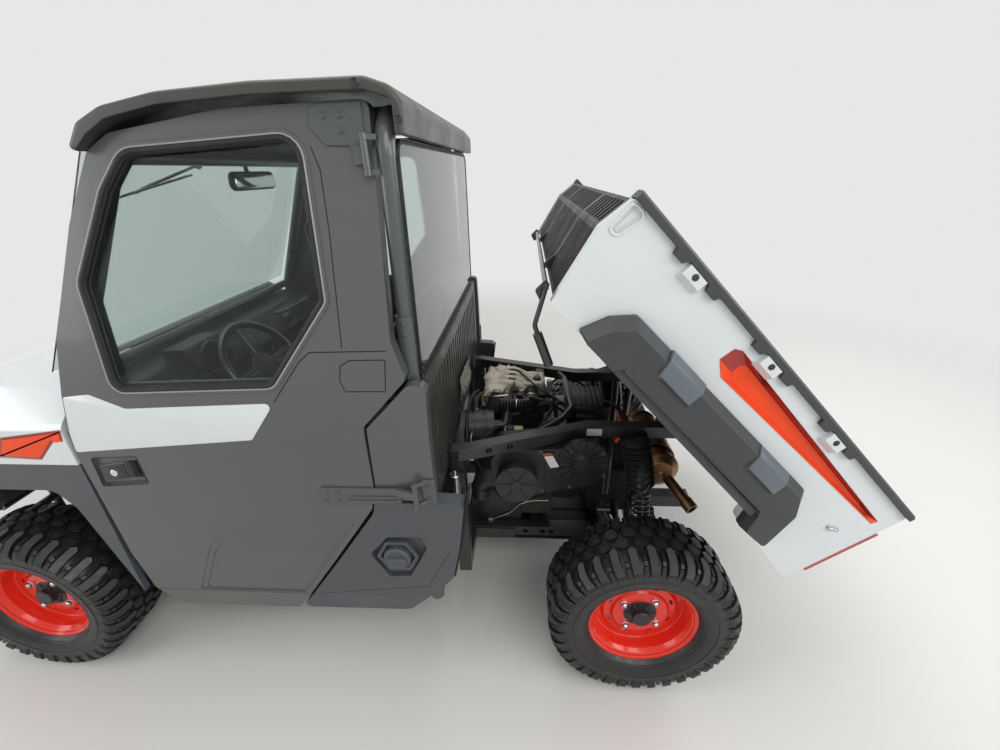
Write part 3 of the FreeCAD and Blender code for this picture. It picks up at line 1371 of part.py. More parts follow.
# and its plan, columns are along the tread and inset
SHOULDER_PLAN = [
    (6.0, 84.0), (24.0, 73.0), (19.5, 37.0), (19.5, -3.0), (-19.5, -3.0), (-19.5, 37.0), (-12.0, 73.0)
]


def centre_block():
    low = outline(CENTRE_BLOCK, in_plan)
    low.translate(V(0, 0, TYRE_R - GROOVE_DEPTH - 4.0))
    top = [(u * BLOCK_TAPER, CENTRE_BLOCK_Y + (v - CENTRE_BLOCK_Y) * BLOCK_TAPER) for u, v in CENTRE_BLOCK]
    high = outline(top, in_plan)
    high.translate(V(0, 0, LUG_TOP))
    return Part.makeLoft([low, high], True, True)


def shoulder_bar():
    half = TYRE_WIDTH / 2.0
    section = front_prism(
        [(half - inset, LUG_TOP - depth) for inset, depth in SHOULDER_SECTION], -40.0, 40.0
    )
    plan = plan_prism([(u, half - inset) for u, inset in SHOULDER_PLAN], TYRE_R - 130.0, TYRE_R + 20.0)
    return section.common(plan)


def tyre():
    """Carcass with staggered rows of blocks, and bars that wrap down over each shoulder."""
    half = TYRE_WIDTH / 2.0
    seat = RIM_WIDTH / 2.0
    bead = seat - RIM_SHEET - SEAT_GAP
    side = [
        (RIM_SEAT_R, bead), (RIM_FLANGE_R + 4.0, bead), (RIM_FLANGE_R + 14.0, seat + 14.0),
        (TYRE_R - 80.0, half - 5.5), (TYRE_R - 45.0, half - 11.0), (TYRE_R - 19.0, half - 43.0),
        (TYRE_R - GROOVE_DEPTH, half - 87.0),
    ]
    carcass = turned(side + [(r, -y) for r, y in reversed(side)], V(0, 0, 0))
    pitch = 360.0 / LUG_PITCHES
    start = -math.degrees(math.acos(LUG_TOP / TYRE_R))
    lugs = []
    for lead, shape in ((0.0, centre_block()), (0.5, shoulder_bar())):
        for side_lead, lug in ((0.5, shape), (0.0, mirrored(shape))):
            for k in range(LUG_PITCHES):
                copy = lug.copy()
                copy.rotate(V(0, 0, 0), V(0, 1, 0), start + (k + lead + side_lead) * pitch)
                lugs.append(copy)
    return carcass.multiFuse(lugs)


RIM_SLOTS = 8
RIM_SLOT = [(113.0, -13.0, 4.0), (123.0, -13.0, 4.0), (123.0, 13.0, 4.0), (113.0, 13.0, 4.0)]
NUT_CIRCLE_R = 78.0


def rim():
    """Barrel with a stepped disc, slots, nut seats, and the centre plate over the hub."""
    seat = RIM_WIDTH / 2.0
    r = RIM_SEAT_R - SEAT_GAP
    well = r - RIM_SHEET - 8.0
    disc = DISC_OFFSET
    lip = RIM_FLANGE_R + 2.0
    back = disc - RIM_SHEET
    centre = V(0, 0, 0)
    shell = turned([
        (CAP_R - 4.0, disc - 4.0), (CAP_R - 4.0, disc + 6.0), (98.0, disc + 6.0, 5.0),
        (106.0, disc - 4.0, 5.0),
        (130.0, disc - 6.0, 5.0),
        (140.0, disc - 16.0, 5.0), (well, disc - 16.0, 6.0), (well, seat - 26.0, 4.0),
        (r - RIM_SHEET, seat - 12.0, 4.0), (lip - RIM_SHEET, seat), (lip, seat), (lip, seat - RIM_SHEET),
        (r, seat - RIM_SHEET), (r, -seat + RIM_SHEET), (lip, -seat + RIM_SHEET), (lip, -seat),
        (r - RIM_SHEET, -seat), (well, -seat + 30.0), (well - RIM_SHEET, -seat + 30.0),
        (well - RIM_SHEET, back - 16.0), (136.0, back - 16.0), (128.0, back - 6.0), (104.0, back - 4.0),
        (98.0, disc - 4.0),
    ], centre)
    hub = rod(V(0, disc - HUB_DEEP, 0), V(0, disc + 2.0, 0), HUB_R)
    cap = turned([
        (0.0, disc), (HUB_PLATE_R, disc), (HUB_PLATE_R, disc + 8.0), (CAP_R + 12.0, disc + 8.0),
        (CAP_R + 12.0, disc + 12.0), (CAP_R, disc + 12.0), (CAP_R, disc + CAP_LENGTH - 8.0),
        (CAP_R + 2.0, disc + CAP_LENGTH - 8.0), (CAP_R + 2.0, disc + CAP_LENGTH - 2.0),
        (CAP_R, disc + CAP_LENGTH), (0.0, disc + CAP_LENGTH),
    ], centre)
    seats = []
    for k in range(4):
        angle = math.radians(38.0 + 90.0 * k)
        at = V(NUT_CIRCLE_R * math.cos(angle), disc + 5.0, NUT_CIRCLE_R * math.sin(angle))
        seats.append(Part.makeCone(17.0, 14.0, 4.0, at, V(0, 1, 0)))
    shell = fuse([shell, hub, cap] + seats)
    slot = side_prism(RIM_SLOT, 0.0, disc)
    for k in range(RIM_SLOTS):
        opening = slot.copy()
        opening.rotate(centre, V(0, 1, 0), (k + 0.5) * 360.0 / RIM_SLOTS)
        shell = shell.cut(opening)
    return shell


def write_wheels():
    shapes = (("tyre", tyre()), ("rim", rim()))
    for end, axle_x in (("front", FRONT_AXLE_X), ("rear", REAR_AXLE_X)):
        for name, shape in shapes:
            placed = shape.copy()
            placed.translate(V(axle_x, TRACK_HALF, AXLE_Z))
            write("%s_%s_left" % (name, end), [placed])
            write("%s_%s_right" % (name, end), [mirrored(placed)])


# Bed

FRONT_WALL = 20.0
# Zones of upright grooves in the front wall, columns are z from and to, pitch, groove width
GROOVE_ZONES = [(906.0, 1080.0, 22.0, 11.0), (1104.0, 1178.0, 44.0, 26.0)]
GROOVE_CUT = 5.0
GROOVE_HALF_SPAN = 650.0
LATCH_PLATE_Y = (-303.0, 297.0)
FLOOR_GROOVE_Y = (110.0, 210.0, 310.0, 410.0, 510.0, 610.0)


def wall_grooves():
    cutters = []
    for z0, z1, pitch, width in GROOVE_ZONES:
        section = [
            (wall_front_x(z0) + 5.0, z0), (wall_front_x(z1) + 5.0, z1), (wall_front_x(z1) - GROOVE_CUT, z1),
            (wall_front_x(z0) - GROOVE_CUT, z0)
        ]
        count = int(GROOVE_HALF_SPAN / pitch)
        for k in range(-count, count + 1):
            y = k * pitch
            if all(abs(y - plate - 3.0) > 3.0 + width for plate in LATCH_PLATE_Y):
                cutters.append(side_prism(section, y - width / 2.0, y + width / 2.0))
    return cutters


def bed_box():
    x_rear = BED_REAR_X + GATE_THICK + 6.0
    y = BED_INNER_Y
    pieces = [box(x_rear, BED_FRONT_LOW_X - 10.0, -y, y, BED_FLOOR_Z, BED_FLOOR_Z + BED_FLOOR)]
    heights = (BED_FLOOR_Z, BED_FOLD[1], BED_TOP_Z)
    front = [(wall_front_x(z), z) for z in heights]
    wall = side_prism(front + [(x - FRONT_WALL, z) for x, z in reversed(front)], -y, y)
    pieces.append(wall.cut(Part.makeCompound(wall_grooves())))
    side_face = [(x - 4.0, z) for x, z in front] + [(x_rear, BED_TOP_Z), (x_rear, BED_FLOOR_Z)]
    outer_ear = REAR_RAIL_Y + RAIL / 2 + 3.0
    inner_ear = REAR_RAIL_Y - RAIL / 2 - 3.0 - EAR
    ear = [(BED_HINGE_X - 24.0, BED_HINGE_Z - 24.0, 20.0), (BED_HINGE_X + 24.0, BED_HINGE_Z - 24.0, 20.0),
           (BED_HINGE_X + 40.0, BED_FLOOR_Z + 2.0), (BED_HINGE_X - 40.0, BED_FLOOR_Z + 2.0)]
    pieces += both(side_prism(side_face, y - 14.0, y))
    for start in (inner_ear, outer_ear):
        pieces += both(side_prism(ear, start, start + EAR))
    pin = rod(
        V(BED_HINGE_X, inner_ear + 2.0, BED_HINGE_Z), V(BED_HINGE_X, outer_ear + EAR - 2.0, BED_HINGE_Z),
        PIN_R
    )
    pieces += both(pin)
    pieces += lift_ears() + gate_pins()
    bed = fuse(pieces)
    grooves = []
    for y in FLOOR_GROOVE_Y:
        grooves += both(
            box(
                x_rear + 20.0, BED_FRONT_LOW_X - 60.0, y - 12.0, y + 12.0, BED_FLOOR_Z + BED_FLOOR - 3.0,
                BED_FLOOR_Z + BED_FLOOR + 5.0
            )
        )
    return raise_bed(bed.cut(Part.makeCompound(grooves)))


def lift_ears():
    """Two plates and a pin under the floor for the lift cylinder's eye."""
    x = BED_HINGE_X + LIFT_EYE_AHEAD
    z = BED_HINGE_Z - LIFT_EYE_BELOW
    ear = [
        (x - 18.0, z - 18.0, 14.0), (x + 18.0, z - 18.0, 14.0), (x + 30.0, BED_FLOOR_Z + 2.0),
        (x - 30.0, BED_FLOOR_Z + 2.0)
    ]
    pieces = []
    for s in (1.0, -1.0):
        y0, y1 = sorted((LIFT_Y + s * (LIFT_EYE_HALF + 0.5), LIFT_Y + s * (LIFT_EYE_HALF + 8.5)))
        pieces.append(side_prism(ear, y0, y1))
    reach = LIFT_EYE_HALF + 6.0
    pieces.append(rod(V(x, LIFT_Y - reach, z), V(x, LIFT_Y + reach, z), LIFT_PIN_R))
    return pieces


BED_FOLD = (-303.0, 1093.0)
BED_PANEL = [
    (BED_FRONT_LOW_X, 884.0, 10.0), (*BED_FOLD, 12.0), (BED_FRONT_TOP_X, BED_TOP_Z - SEAT_GAP, 8.0),
    (BED_REAR_X, BED_TOP_Z - SEAT_GAP, 8.0), (BED_REAR_X + 18.0, 790.0, 20.0), (-1400.0, 812.0, 30.0),
    (-1271.0, 822.0, 30.0), (-1243.0, 896.0, 30.0), (-585.0, 904.0, 10.0), (-474.0, 884.0, 10.0),
]

# Pressed recesses in the bed's sides: rim and floor of the long one, and the one by the front corner
BED_RECESS = [
    (-781.0, 1096.0), (-783.0, 1140.0), (-802.0, 1151.0), (-1566.0, 1124.0), (-1560.0, 1106.0),
    (-826.0, 1068.0)
]
BED_RECESS_FLOOR = [
    (-846.0, 1096.0), (-844.0, 1126.0), (-858.0, 1136.0), (-1540.0, 1117.0), (-1532.0, 1112.0),
    (-872.0, 1081.0)
]
BED_RECESS_DEPTH = 20.0
CORNER_RECESS = [
    (-322.0, 1180.0, 8.0), (-364.0, 1184.0, 14.0), (-347.0, 1106.0, 12.0), (-325.0, 1106.0, 8.0)
]

# Blocks that hold the top rails down
RAIL_BLOCK_X = (-552.0, -880.0, -1204.0)
RAIL_BLOCK_HALF = 31.0
RAIL_TAB = (48.0, 80.0)
RAIL_LIP_Z = BED_TOP_Z + 2.0
RAIL_TAB_Z = BED_TOP_Z - 16.0


def bed_panels():
    """Side panels with pressed recesses and the blocks under the top rail."""
    panel = side_prism(BED_PANEL, BED_INNER_Y + SEAT_GAP, BED_SKIN_Y)
    rim = outline(BED_RECESS, in_side)
    rim.translate(V(0, BED_SKIN_Y, 0))
    floor = outline(BED_RECESS_FLOOR, in_side)
    floor.translate(V(0, BED_SKIN_Y - BED_RECESS_DEPTH, 0))
    panel = panel.cut(Part.makeLoft([rim, floor], True, True))
    panel = panel.cut(side_prism(CORNER_RECESS, BED_SKIN_Y - 5.0, BED_SKIN_Y + 5.0))
    blocks = []
    for x in RAIL_BLOCK_X:
        face = [
            (BED_SKIN_Y - 4.0, 1146.0), (BED_SKIN_Y, 1146.0), (BED_SKIN_Y + 18.0, 1160.0),
            (BED_SKIN_Y + 18.0, 1188.0), (BED_SKIN_Y - 4.0, 1188.0)
        ]
        blocks.append(front_prism(face, x - RAIL_BLOCK_HALF, x + RAIL_BLOCK_HALF))
    panel = fuse([panel] + blocks)
    return [raise_bed(s) for s in both(panel)]


FLARE = [
    (-458.0, 890.0, 6.0), (-486.0, 968.0, 10.0), (-533.0, 1021.0, 20.0),
    (-1285.0, 1031.0, 20.0), (-1348.0, 972.0, 20.0),
    (-1387.0, 824.0, 10.0), (-1273.0, 818.0, 10.0), (-1243.0, 884.0, 20.0),
    (-590.0, 902.0, 20.0), (-600.0, 876.0, 6.0),
]
# The same outline at the flare's face, drawn in along its upper edge
FLARE_FACE = [
    (-480.0, 886.0, 6.0), (-508.0, 958.0, 10.0), (-548.0, 996.0, 20.0),
    (-1274.0, 1006.0, 20.0), (-1324.0, 962.0, 20.0),
    (-1364.0, 830.0, 10.0), (-1279.0, 826.0, 10.0), (-1247.0, 892.0, 20.0),
    (-588.0, 910.0, 20.0), (-596.0, 884.0, 6.0),
]
FLARE_EDGE_Y = 745.0
# Wedges pressed out of the flare, columns are x from and to
FLARE_WEDGES = [(-800.0, -686.0), (-1192.0, -1078.0)]
FLARE_WEDGE_Y = 787.0


def bed_flares():
    base = side_prism(FLARE, BED_SKIN_Y + SEAT_GAP, FLARE_EDGE_Y)
    rim = outline(FLARE, in_side)
    rim.translate(V(0, FLARE_EDGE_Y, 0))
    face = outline(FLARE_FACE, in_side)
    face.translate(V(0, FLARE_Y, 0))
    pieces = [base, Part.makeLoft([rim, face], True, True)]
    for x0, x1 in FLARE_WEDGES:
        section = [
            (FLARE_EDGE_Y - 10.0, 1020.0), (FLARE_EDGE_Y + 6.0, 1020.0), (FLARE_WEDGE_Y, 962.0),
            (FLARE_Y - 1.0, 952.0), (FLARE_EDGE_Y - 10.0, 952.0)
        ]
        pieces.append(front_prism(section, x0, x1))
    return [raise_bed(s) for s in both(fuse(pieces))]


def bed_rails():
    """Top rails whose outer lip drops in tabs on both sides of each block."""
    y0, y1 = BED_INNER_Y - 14.0, BED_SKIN_Y + 14.0
    top = front_prism(
        [
            (y0, BED_TOP_Z), (y1, BED_TOP_Z), (y1, BED_RAIL_TOP_Z - 6.0), (y1 - 8.0, BED_RAIL_TOP_Z),
            (y0 + 6.0, BED_RAIL_TOP_Z), (y0, BED_RAIL_TOP_Z - 5.0)
        ],
        BED_REAR_X, BED_FRONT_TOP_X
    )
    pieces = [top]
    for x in RAIL_BLOCK_X:
        for s in (1.0, -1.0):
            near, far = x + s * RAIL_TAB[0], x + s * RAIL_TAB[1]
            tab = [
                (near - s * 10.0, RAIL_LIP_Z), (near, RAIL_TAB_Z), (far, RAIL_TAB_Z),
                (far + s * 6.0, RAIL_LIP_Z)
            ]
            pieces.append(side_prism(tab, BED_SKIN_Y + SEAT_GAP, y1))
    return [raise_bed(s) for s in both(fuse(pieces))]


def wall_front_x(z):
    """Front face of the bed's front wall, which has a fold across it."""
    fold_x, fold_z = BED_FOLD
    if z > fold_z:
        share = (z - fold_z) / (BED_TOP_Z - fold_z)
        return fold_x - 6.0 + share * (BED_FRONT_TOP_X - fold_x)
    share = (z - BED_FLOOR_Z) / (fold_z - BED_FLOOR_Z)
    return BED_FRONT_LOW_X - 6.0 + share * (fold_x - BED_FRONT_LOW_X)


def bed_latch():
    """A cross bar with a hand lever and a hook plate at each end."""
    x, z = LATCH_BAR
    bar = rod(V(x, -610.0, z), V(x, 610.0, z), 8.0)
    lever = bent_tube([V(x, 604.0, z), V(-402.0, 604.0, 790.0), V(-520.0, 604.0, 735.0)], 7.0, 30.0)
    grip = rod(V(-425.0, 604.0, 779.0), V(-522.0, 604.0, 734.0), 14.0)
    hook = side_prism(
        [
            (x + 13.0, z + 11.0, 4.0), (x + 13.0, z - 31.0, 10.0), (x - 30.0, z - 44.0, 8.0),
            (x - 5.0, z + 11.0, 4.0)
        ],
        580.0, 588.0
    )
    pieces = [bar, lever, grip] + both(hook)
    for y in LATCH_PLATE_Y:
        pieces.append(side_prism([
            (x + 4.0, z - 6.0), (x + 4.0, z + 8.0),
            (wall_front_x(z + 60.0) + SEAT_GAP, z + 60.0), (wall_front_x(z + 6.0) + SEAT_GAP, z + 6.0),
        ], y, y + 6.0))
    return raise_bed(fuse(pieces))


GATE_PANELS_Z = (BED_FLOOR_Z + 50.0, BED_FLOOR_Z + 160.0)


def tailgate():
    """The gate with two hinge barrels along its lower edge."""
    x, z = GATE_HINGE
    gate = box(BED_REAR_X, BED_REAR_X + GATE_THICK, -GATE_HALF, GATE_HALF, z + GATE_PIN_R + 8.0, BED_TOP_Z)
    for low in GATE_PANELS_Z:
        panel = front_prism(
            [
                (-600.0, low, 14.0), (600.0, low, 14.0), (600.0, low + 76.0, 14.0),
                (-600.0, low + 76.0, 14.0)
            ],
            BED_REAR_X - 1.0, BED_REAR_X + 7.0
        )
        gate = gate.cut(panel)
    pieces = [gate]
    for y in (-GATE_HINGE_Y, GATE_HINGE_Y):
        pieces.append(rod(V(x, y - 30.0, z), V(x, y + 30.0, z), GATE_PIN_R + 5.0))
        pieces.append(box(x - 5.0, x + 5.0, y - 30.0, y + 30.0, z, z + GATE_PIN_R + 12.0))
    gate = fuse(pieces)
    for y in (-GATE_HINGE_Y, GATE_HINGE_Y):
        gate = gate.cut(rod(V(x, y - 40.0, z), V(x, y + 40.0, z), GATE_PIN_R + PIN_CLEARANCE))
    return raise_bed(gate)


def gate_pins():
    """Pins on the bed's rear edge that the gate's barrels turn on."""
    x, z = GATE_HINGE
    pieces = []
    for y in (-GATE_HINGE_Y, GATE_HINGE_Y):
        pieces.append(rod(V(x, y - 42.0, z), V(x, y + 42.0, z), GATE_PIN_R))
        for s in (-1.0, 1.0):
            y0, y1 = sorted((y + s * 30.5, y + s * 42.0))
            pieces.append(
                box(x - GATE_PIN_R, BED_REAR_X + GATE_THICK + 10.0, y0, y1, z - GATE_PIN_R, z + GATE_PIN_R)
            )
    return pieces


def tail_lamps():
    """Lamps on the rear edges of the bed's side panels."""
    low, high = (BED_REAR_X + 18.0, 790.0), (BED_REAR_X, BED_TOP_Z)
    edge = []
    for z in (860.0, 1100.0):
        edge.append((low[0] + (high[0] - low[0]) * (z - low[1]) / (high[1] - low[1]) - SEAT_GAP, z))
    corners = edge + [(x - 12.0, z) for x, z in reversed(edge)]
    return [raise_bed(s) for s in both(side_prism(corners, BED_INNER_Y + 1.0, BED_SKIN_Y))]


# Lift cylinder

def lift_points():
    """Foot and eye of the cylinder with the bed raised."""
    dx, dz = LIFT_EYE_AHEAD, -LIFT_EYE_BELOW
    turn = math.radians(BED_RAISED)
    eye = V(BED_HINGE_X + dx * math.cos(turn) - dz * math.sin(turn), LIFT_Y,
            BED_HINGE_Z + dx * math.sin(turn) + dz * math.cos(turn))
    return V(LIFT_FOOT[0], LIFT_Y, LIFT_FOOT[1]), eye


def lift_barrel():
    foot, eye = lift_points()
    way = eye - foot
    way.normalize()
    eye_ring = rod(foot - V(0, LIFT_EYE_HALF, 0), foot + V(0, LIFT_EYE_HALF, 0), 22.0)
    tube = rod(foot + way * 15.0, foot + way * LIFT_TUBE, BARREL_TUBE_R)
    body = fuse([eye_ring, tube])
    body = body.cut(rod(foot + way * 60.0, foot + way * (LIFT_TUBE + 20.0), ROD_R + ROD_CLEARANCE))
    return body.cut(rod(foot - V(0, 20, 0), foot + V(0, 20, 0), PIN_R + PIN_CLEARANCE))


def lift_rod():
    foot, eye = lift_points()
    way = eye - foot
    way.normalize()
    ring = rod(eye - V(0, LIFT_EYE_HALF, 0), eye + V(0, LIFT_EYE_HALF, 0), 21.0)
    bar = rod(foot + way * (LIFT_TUBE - 60.0), eye, ROD_R)
    eye_rod = fuse([ring, bar])
    return eye_rod.cut(rod(eye - V(0, 20, 0), eye + V(0, 20, 0), LIFT_PIN_R + LIFT_DRIFT))


def write_all():
    door_shape = door()
    glass_shape = door_glass()
    hinge_shapes = door_hinges()
    write("door_left", [door_shape])
    write("door_right", [mirrored(door_shape)])
    write("door_left_glass", [glass_shape])
    write("door_right_glass", [mirrored(glass_shape)])
    write("door_left_hinges", hinge_shapes)
    write("door_right_hinges", [mirrored(s) for s in hinge_shapes])
    write("hinge_brackets", hinge_brackets())
    write("quarter_panels", both(quarter_panel()))
    write("rocker_panels", rocker_panels())
    write("fuel_cap", [fuel_cap()])
    write("mud_flaps", mud_flaps())
    write("roof", [roof()])
    write("cab_glass", [windshield(), rear_window()])
    write("rear_cab_panel", [rear_cab_panel()])
    write("cab_tub", [cab_tub()])
    write("seat_cushion", [seat_cushion()])
    write("seat_back", [seat_back()])
    write("dashboard", [dashboard()])
    write("steering_wheel", [steering_wheel()])
    write("roll_cage", [roll_cage()])
    write("main_frame", [main_frame()])
    write("rear_frame", [rear_frame()])
    write("front_frame", [front_frame()])
    write("suspension_arms", suspension_arms())
    write("knuckle_left", [knuckle(FRONT_AXLE_X)])
    write("knuckle_right", [mirrored(knuckle(FRONT_AXLE_X))])
    write("rear_knuckles", both(knuckle(REAR_AXLE_X)))
    write("shocks", shocks())
    write("half_shafts", half_shafts())
    write("transaxle", transaxle())
    write("engine", [engine()])
    write("intake", [intake()])
    write("air_box", [air_box()])
    write("reservoir", [reservoir()])
    write("cvt_cover", [cvt_cover()])
    write("muffler", [muffler()])
    write("hood", [hood()])
    write("front_lower_body", [front_lower_body()])
    write("headlights", headlights())
    write("front_bumper", [front_bumper()])
    write_wheels()
    write("bed_box", [bed_box()])
    write("bed_panels", bed_panels())
    write("bed_flares", bed_flares())
    write("bed_rails", bed_rails())
    write("bed_latch", [bed_latch()])
    write("tailgate", [tailgate()])
    write("tail_lamps", tail_lamps())
    write("lift_barrel", [lift_barrel()])
    write("lift_rod", [lift_rod()])


write_all()
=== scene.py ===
import math

import bmesh
import bpy
from mathutils import Matrix, Vector


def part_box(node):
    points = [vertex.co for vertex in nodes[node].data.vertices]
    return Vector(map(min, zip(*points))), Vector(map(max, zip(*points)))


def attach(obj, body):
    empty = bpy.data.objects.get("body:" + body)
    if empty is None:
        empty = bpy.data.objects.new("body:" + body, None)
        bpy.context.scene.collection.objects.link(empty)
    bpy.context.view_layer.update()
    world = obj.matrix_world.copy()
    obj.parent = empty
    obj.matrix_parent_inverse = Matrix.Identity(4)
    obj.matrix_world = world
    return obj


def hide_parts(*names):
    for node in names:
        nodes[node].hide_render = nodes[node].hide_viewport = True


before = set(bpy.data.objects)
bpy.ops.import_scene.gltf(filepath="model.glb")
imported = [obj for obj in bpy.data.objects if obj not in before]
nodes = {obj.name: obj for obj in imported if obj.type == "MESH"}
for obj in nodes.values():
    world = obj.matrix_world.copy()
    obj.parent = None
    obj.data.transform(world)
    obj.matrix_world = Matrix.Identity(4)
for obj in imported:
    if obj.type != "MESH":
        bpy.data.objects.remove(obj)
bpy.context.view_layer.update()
scene = bpy.context.scene
scene.view_settings.view_transform = "Standard"

# Shapes are written in millimetres in the frame of the part, and scaled when they become meshes
MM = 0.001
AHEAD = (1, 0, 0)
OUT = (0, 1, 0)
UP = (0, 0, 1)
SIDES = (("left", 1.0), ("right", -1.0))

# Camera, at the place the photograph was taken from
CAMERA_AT = Vector((-0.5818, 1.8117, 1.8167))
CAMERA_YAW = 0.0657644
CAMERA_PITCH = 0.43614745
CAMERA_ROLL = -0.0250035
FOCAL_PIXELS = 438.13
IMAGE_WIDTH = 1000.0
SENSOR = 36.0

# Side of the body: height against half width
SKIN = [(250.0, 690.0), (420.0, 728.0), (620.0, 745.0), (1120.0, 745.0), (2030.0, 616.0)]

# Bed, drawn lowered and then tipped about its hinge
BED_HINGE = Vector((-1244.0, 0.0, 858.0))
BED_RAISED = 45.5
BED_SKIN_Y = 722.0
FLARE_Y = 777.0

# Wheels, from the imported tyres
TYRE_R = 338.0
LUG_PITCHES = 34


def wheel_centre(node):
    low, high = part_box(node)
    return (low + high) / 2.0 / MM


# Finishes

def srgb(red, green, blue):
    """A linear colour from 8-bit values as a screen shows them."""
    channels = []
    for value in (red, green, blue):
        share = value / 255.0
        channels.append(share / 12.92 if share <= 0.04045 else ((share + 0.055) / 1.055) ** 2.4)
    return (*channels, 1.0)


def scaled(colour, share):
    return (*[min(1.0, c * share) for c in colour[:3]], 1.0)


def add_node(tree, kind, links=(), operation=None, **values):
    """A shader node with values for some of its inputs, and links as (input, output that feeds it)."""
    node = tree.nodes.new("ShaderNode" + kind)
    if operation:
        node.operation = operation
    for key, value in values.items():
        node.inputs[key.replace("_", " ")].default_value = value
    for key, output in links:
        tree.links.new(output, node.inputs[key])
    return node


def mix_colours(tree, share, first, second):
    """A colour between two, of which each is a value or another node's output."""
    mix = tree.nodes.new("ShaderNodeMix")
    mix.data_type = "RGBA"
    tree.links.new(share, mix.inputs[0])
    for slot, colour in ((6, first), (7, second)):
        if isinstance(colour, tuple):
            mix.inputs[slot].default_value = colour
        else:
            tree.links.new(colour, mix.inputs[slot])
    return mix.outputs[2]


def finish(name, colour, rough, metallic=0.0, coat=0.0, tint=0.10, patch=0.22, wear=0.10,
           grain=0.0015, height=0.00012, kind="noise", edge=0.0018, edge_wear_and_highlight=0.0):
    """A procedural finish.

    The colour drifts by tint in patches of a size, the gloss is uneven by wear, a grain of a size and
    height raises the surface, and edges are rounded by a radius. The last argument lightens edges, partly
    as wear and partly as a painted highlight.
    """
    material = bpy.data.materials.new(name)
    material.use_nodes = True
    tree = material.node_tree
    place = add_node(tree, "TexCoord").outputs["Object"]
    drift = add_node(tree, "TexNoise", [("Vector", place)], Scale=1.0 / patch, Detail=4.0, Roughness=0.6)
    shade = mix_colours(tree, drift.outputs["Fac"], scaled(colour, 1.0 - tint), scaled(colour, 1.0 + tint))
    smear = add_node(tree, "TexNoise", [("Vector", place)], Scale=2.3 / patch, Detail=5.0, Roughness=0.65)
    gloss = add_node(tree, "MapRange", [("Value", smear.outputs["Fac"])], From_Min=0.3, From_Max=0.7,
                     To_Min=max(0.02, rough - wear), To_Max=min(1.0, rough + wear))
    if kind == "cells":
        raised = add_node(tree, "TexVoronoi", [("Vector", place)], Scale=1.0 / grain).outputs["Distance"]
    else:
        fine = add_node(tree, "TexNoise", [("Vector", place)], Scale=1.0 / grain, Detail=3.0, Roughness=0.6)
        raised = fine.outputs["Fac"]
    bump = add_node(tree, "Bump", [("Height", raised)], Strength=0.6, Distance=height)
    if edge > 0.0:
        bevel = add_node(tree, "Bevel", Radius=edge)
        bevel.samples = 4
        tree.links.new(bevel.outputs["Normal"], bump.inputs["Normal"])
        if edge_wear_and_highlight > 0.0:
            # Edges turn lighter where the rounded normal leaves the face: partly wear, partly a painted
            # highlight
            flat = add_node(tree, "NewGeometry").outputs["True Normal"]
            turn = add_node(tree, "VectorMath", [(0, bevel.outputs["Normal"]), (1, flat)], "DOT_PRODUCT")
            rub_and_highlight = add_node(tree, "MapRange", [("Value", turn.outputs["Value"])], From_Min=0.98,
                           From_Max=0.80, To_Max=edge_wear_and_highlight)
            shade = mix_colours(tree, rub_and_highlight.outputs["Result"], shade, scaled(colour, 2.6))
    bsdf = tree.nodes["Principled BSDF"]
    for key, value in (("Metallic", metallic), ("Coat Weight", coat), ("Coat Roughness", 0.08)):
        bsdf.inputs[key].default_value = value
    for key, output in (("Base Color", shade), ("Roughness", gloss.outputs["Result"]),
                        ("Normal", bump.outputs["Normal"])):
        tree.links.new(output, bsdf.inputs[key])
    return material


def glass_finish(name, colour):
    """Clear sheet with faint smears in its gloss."""
    material = finish(name, colour, 0.03, tint=0.03, wear=0.02, grain=0.4, height=0.0004, edge=0.0)
    bsdf = material.node_tree.nodes["Principled BSDF"]
    bsdf.inputs["Transmission Weight"].default_value = 1.0
    bsdf.inputs["IOR"].default_value = 1.3
    return material
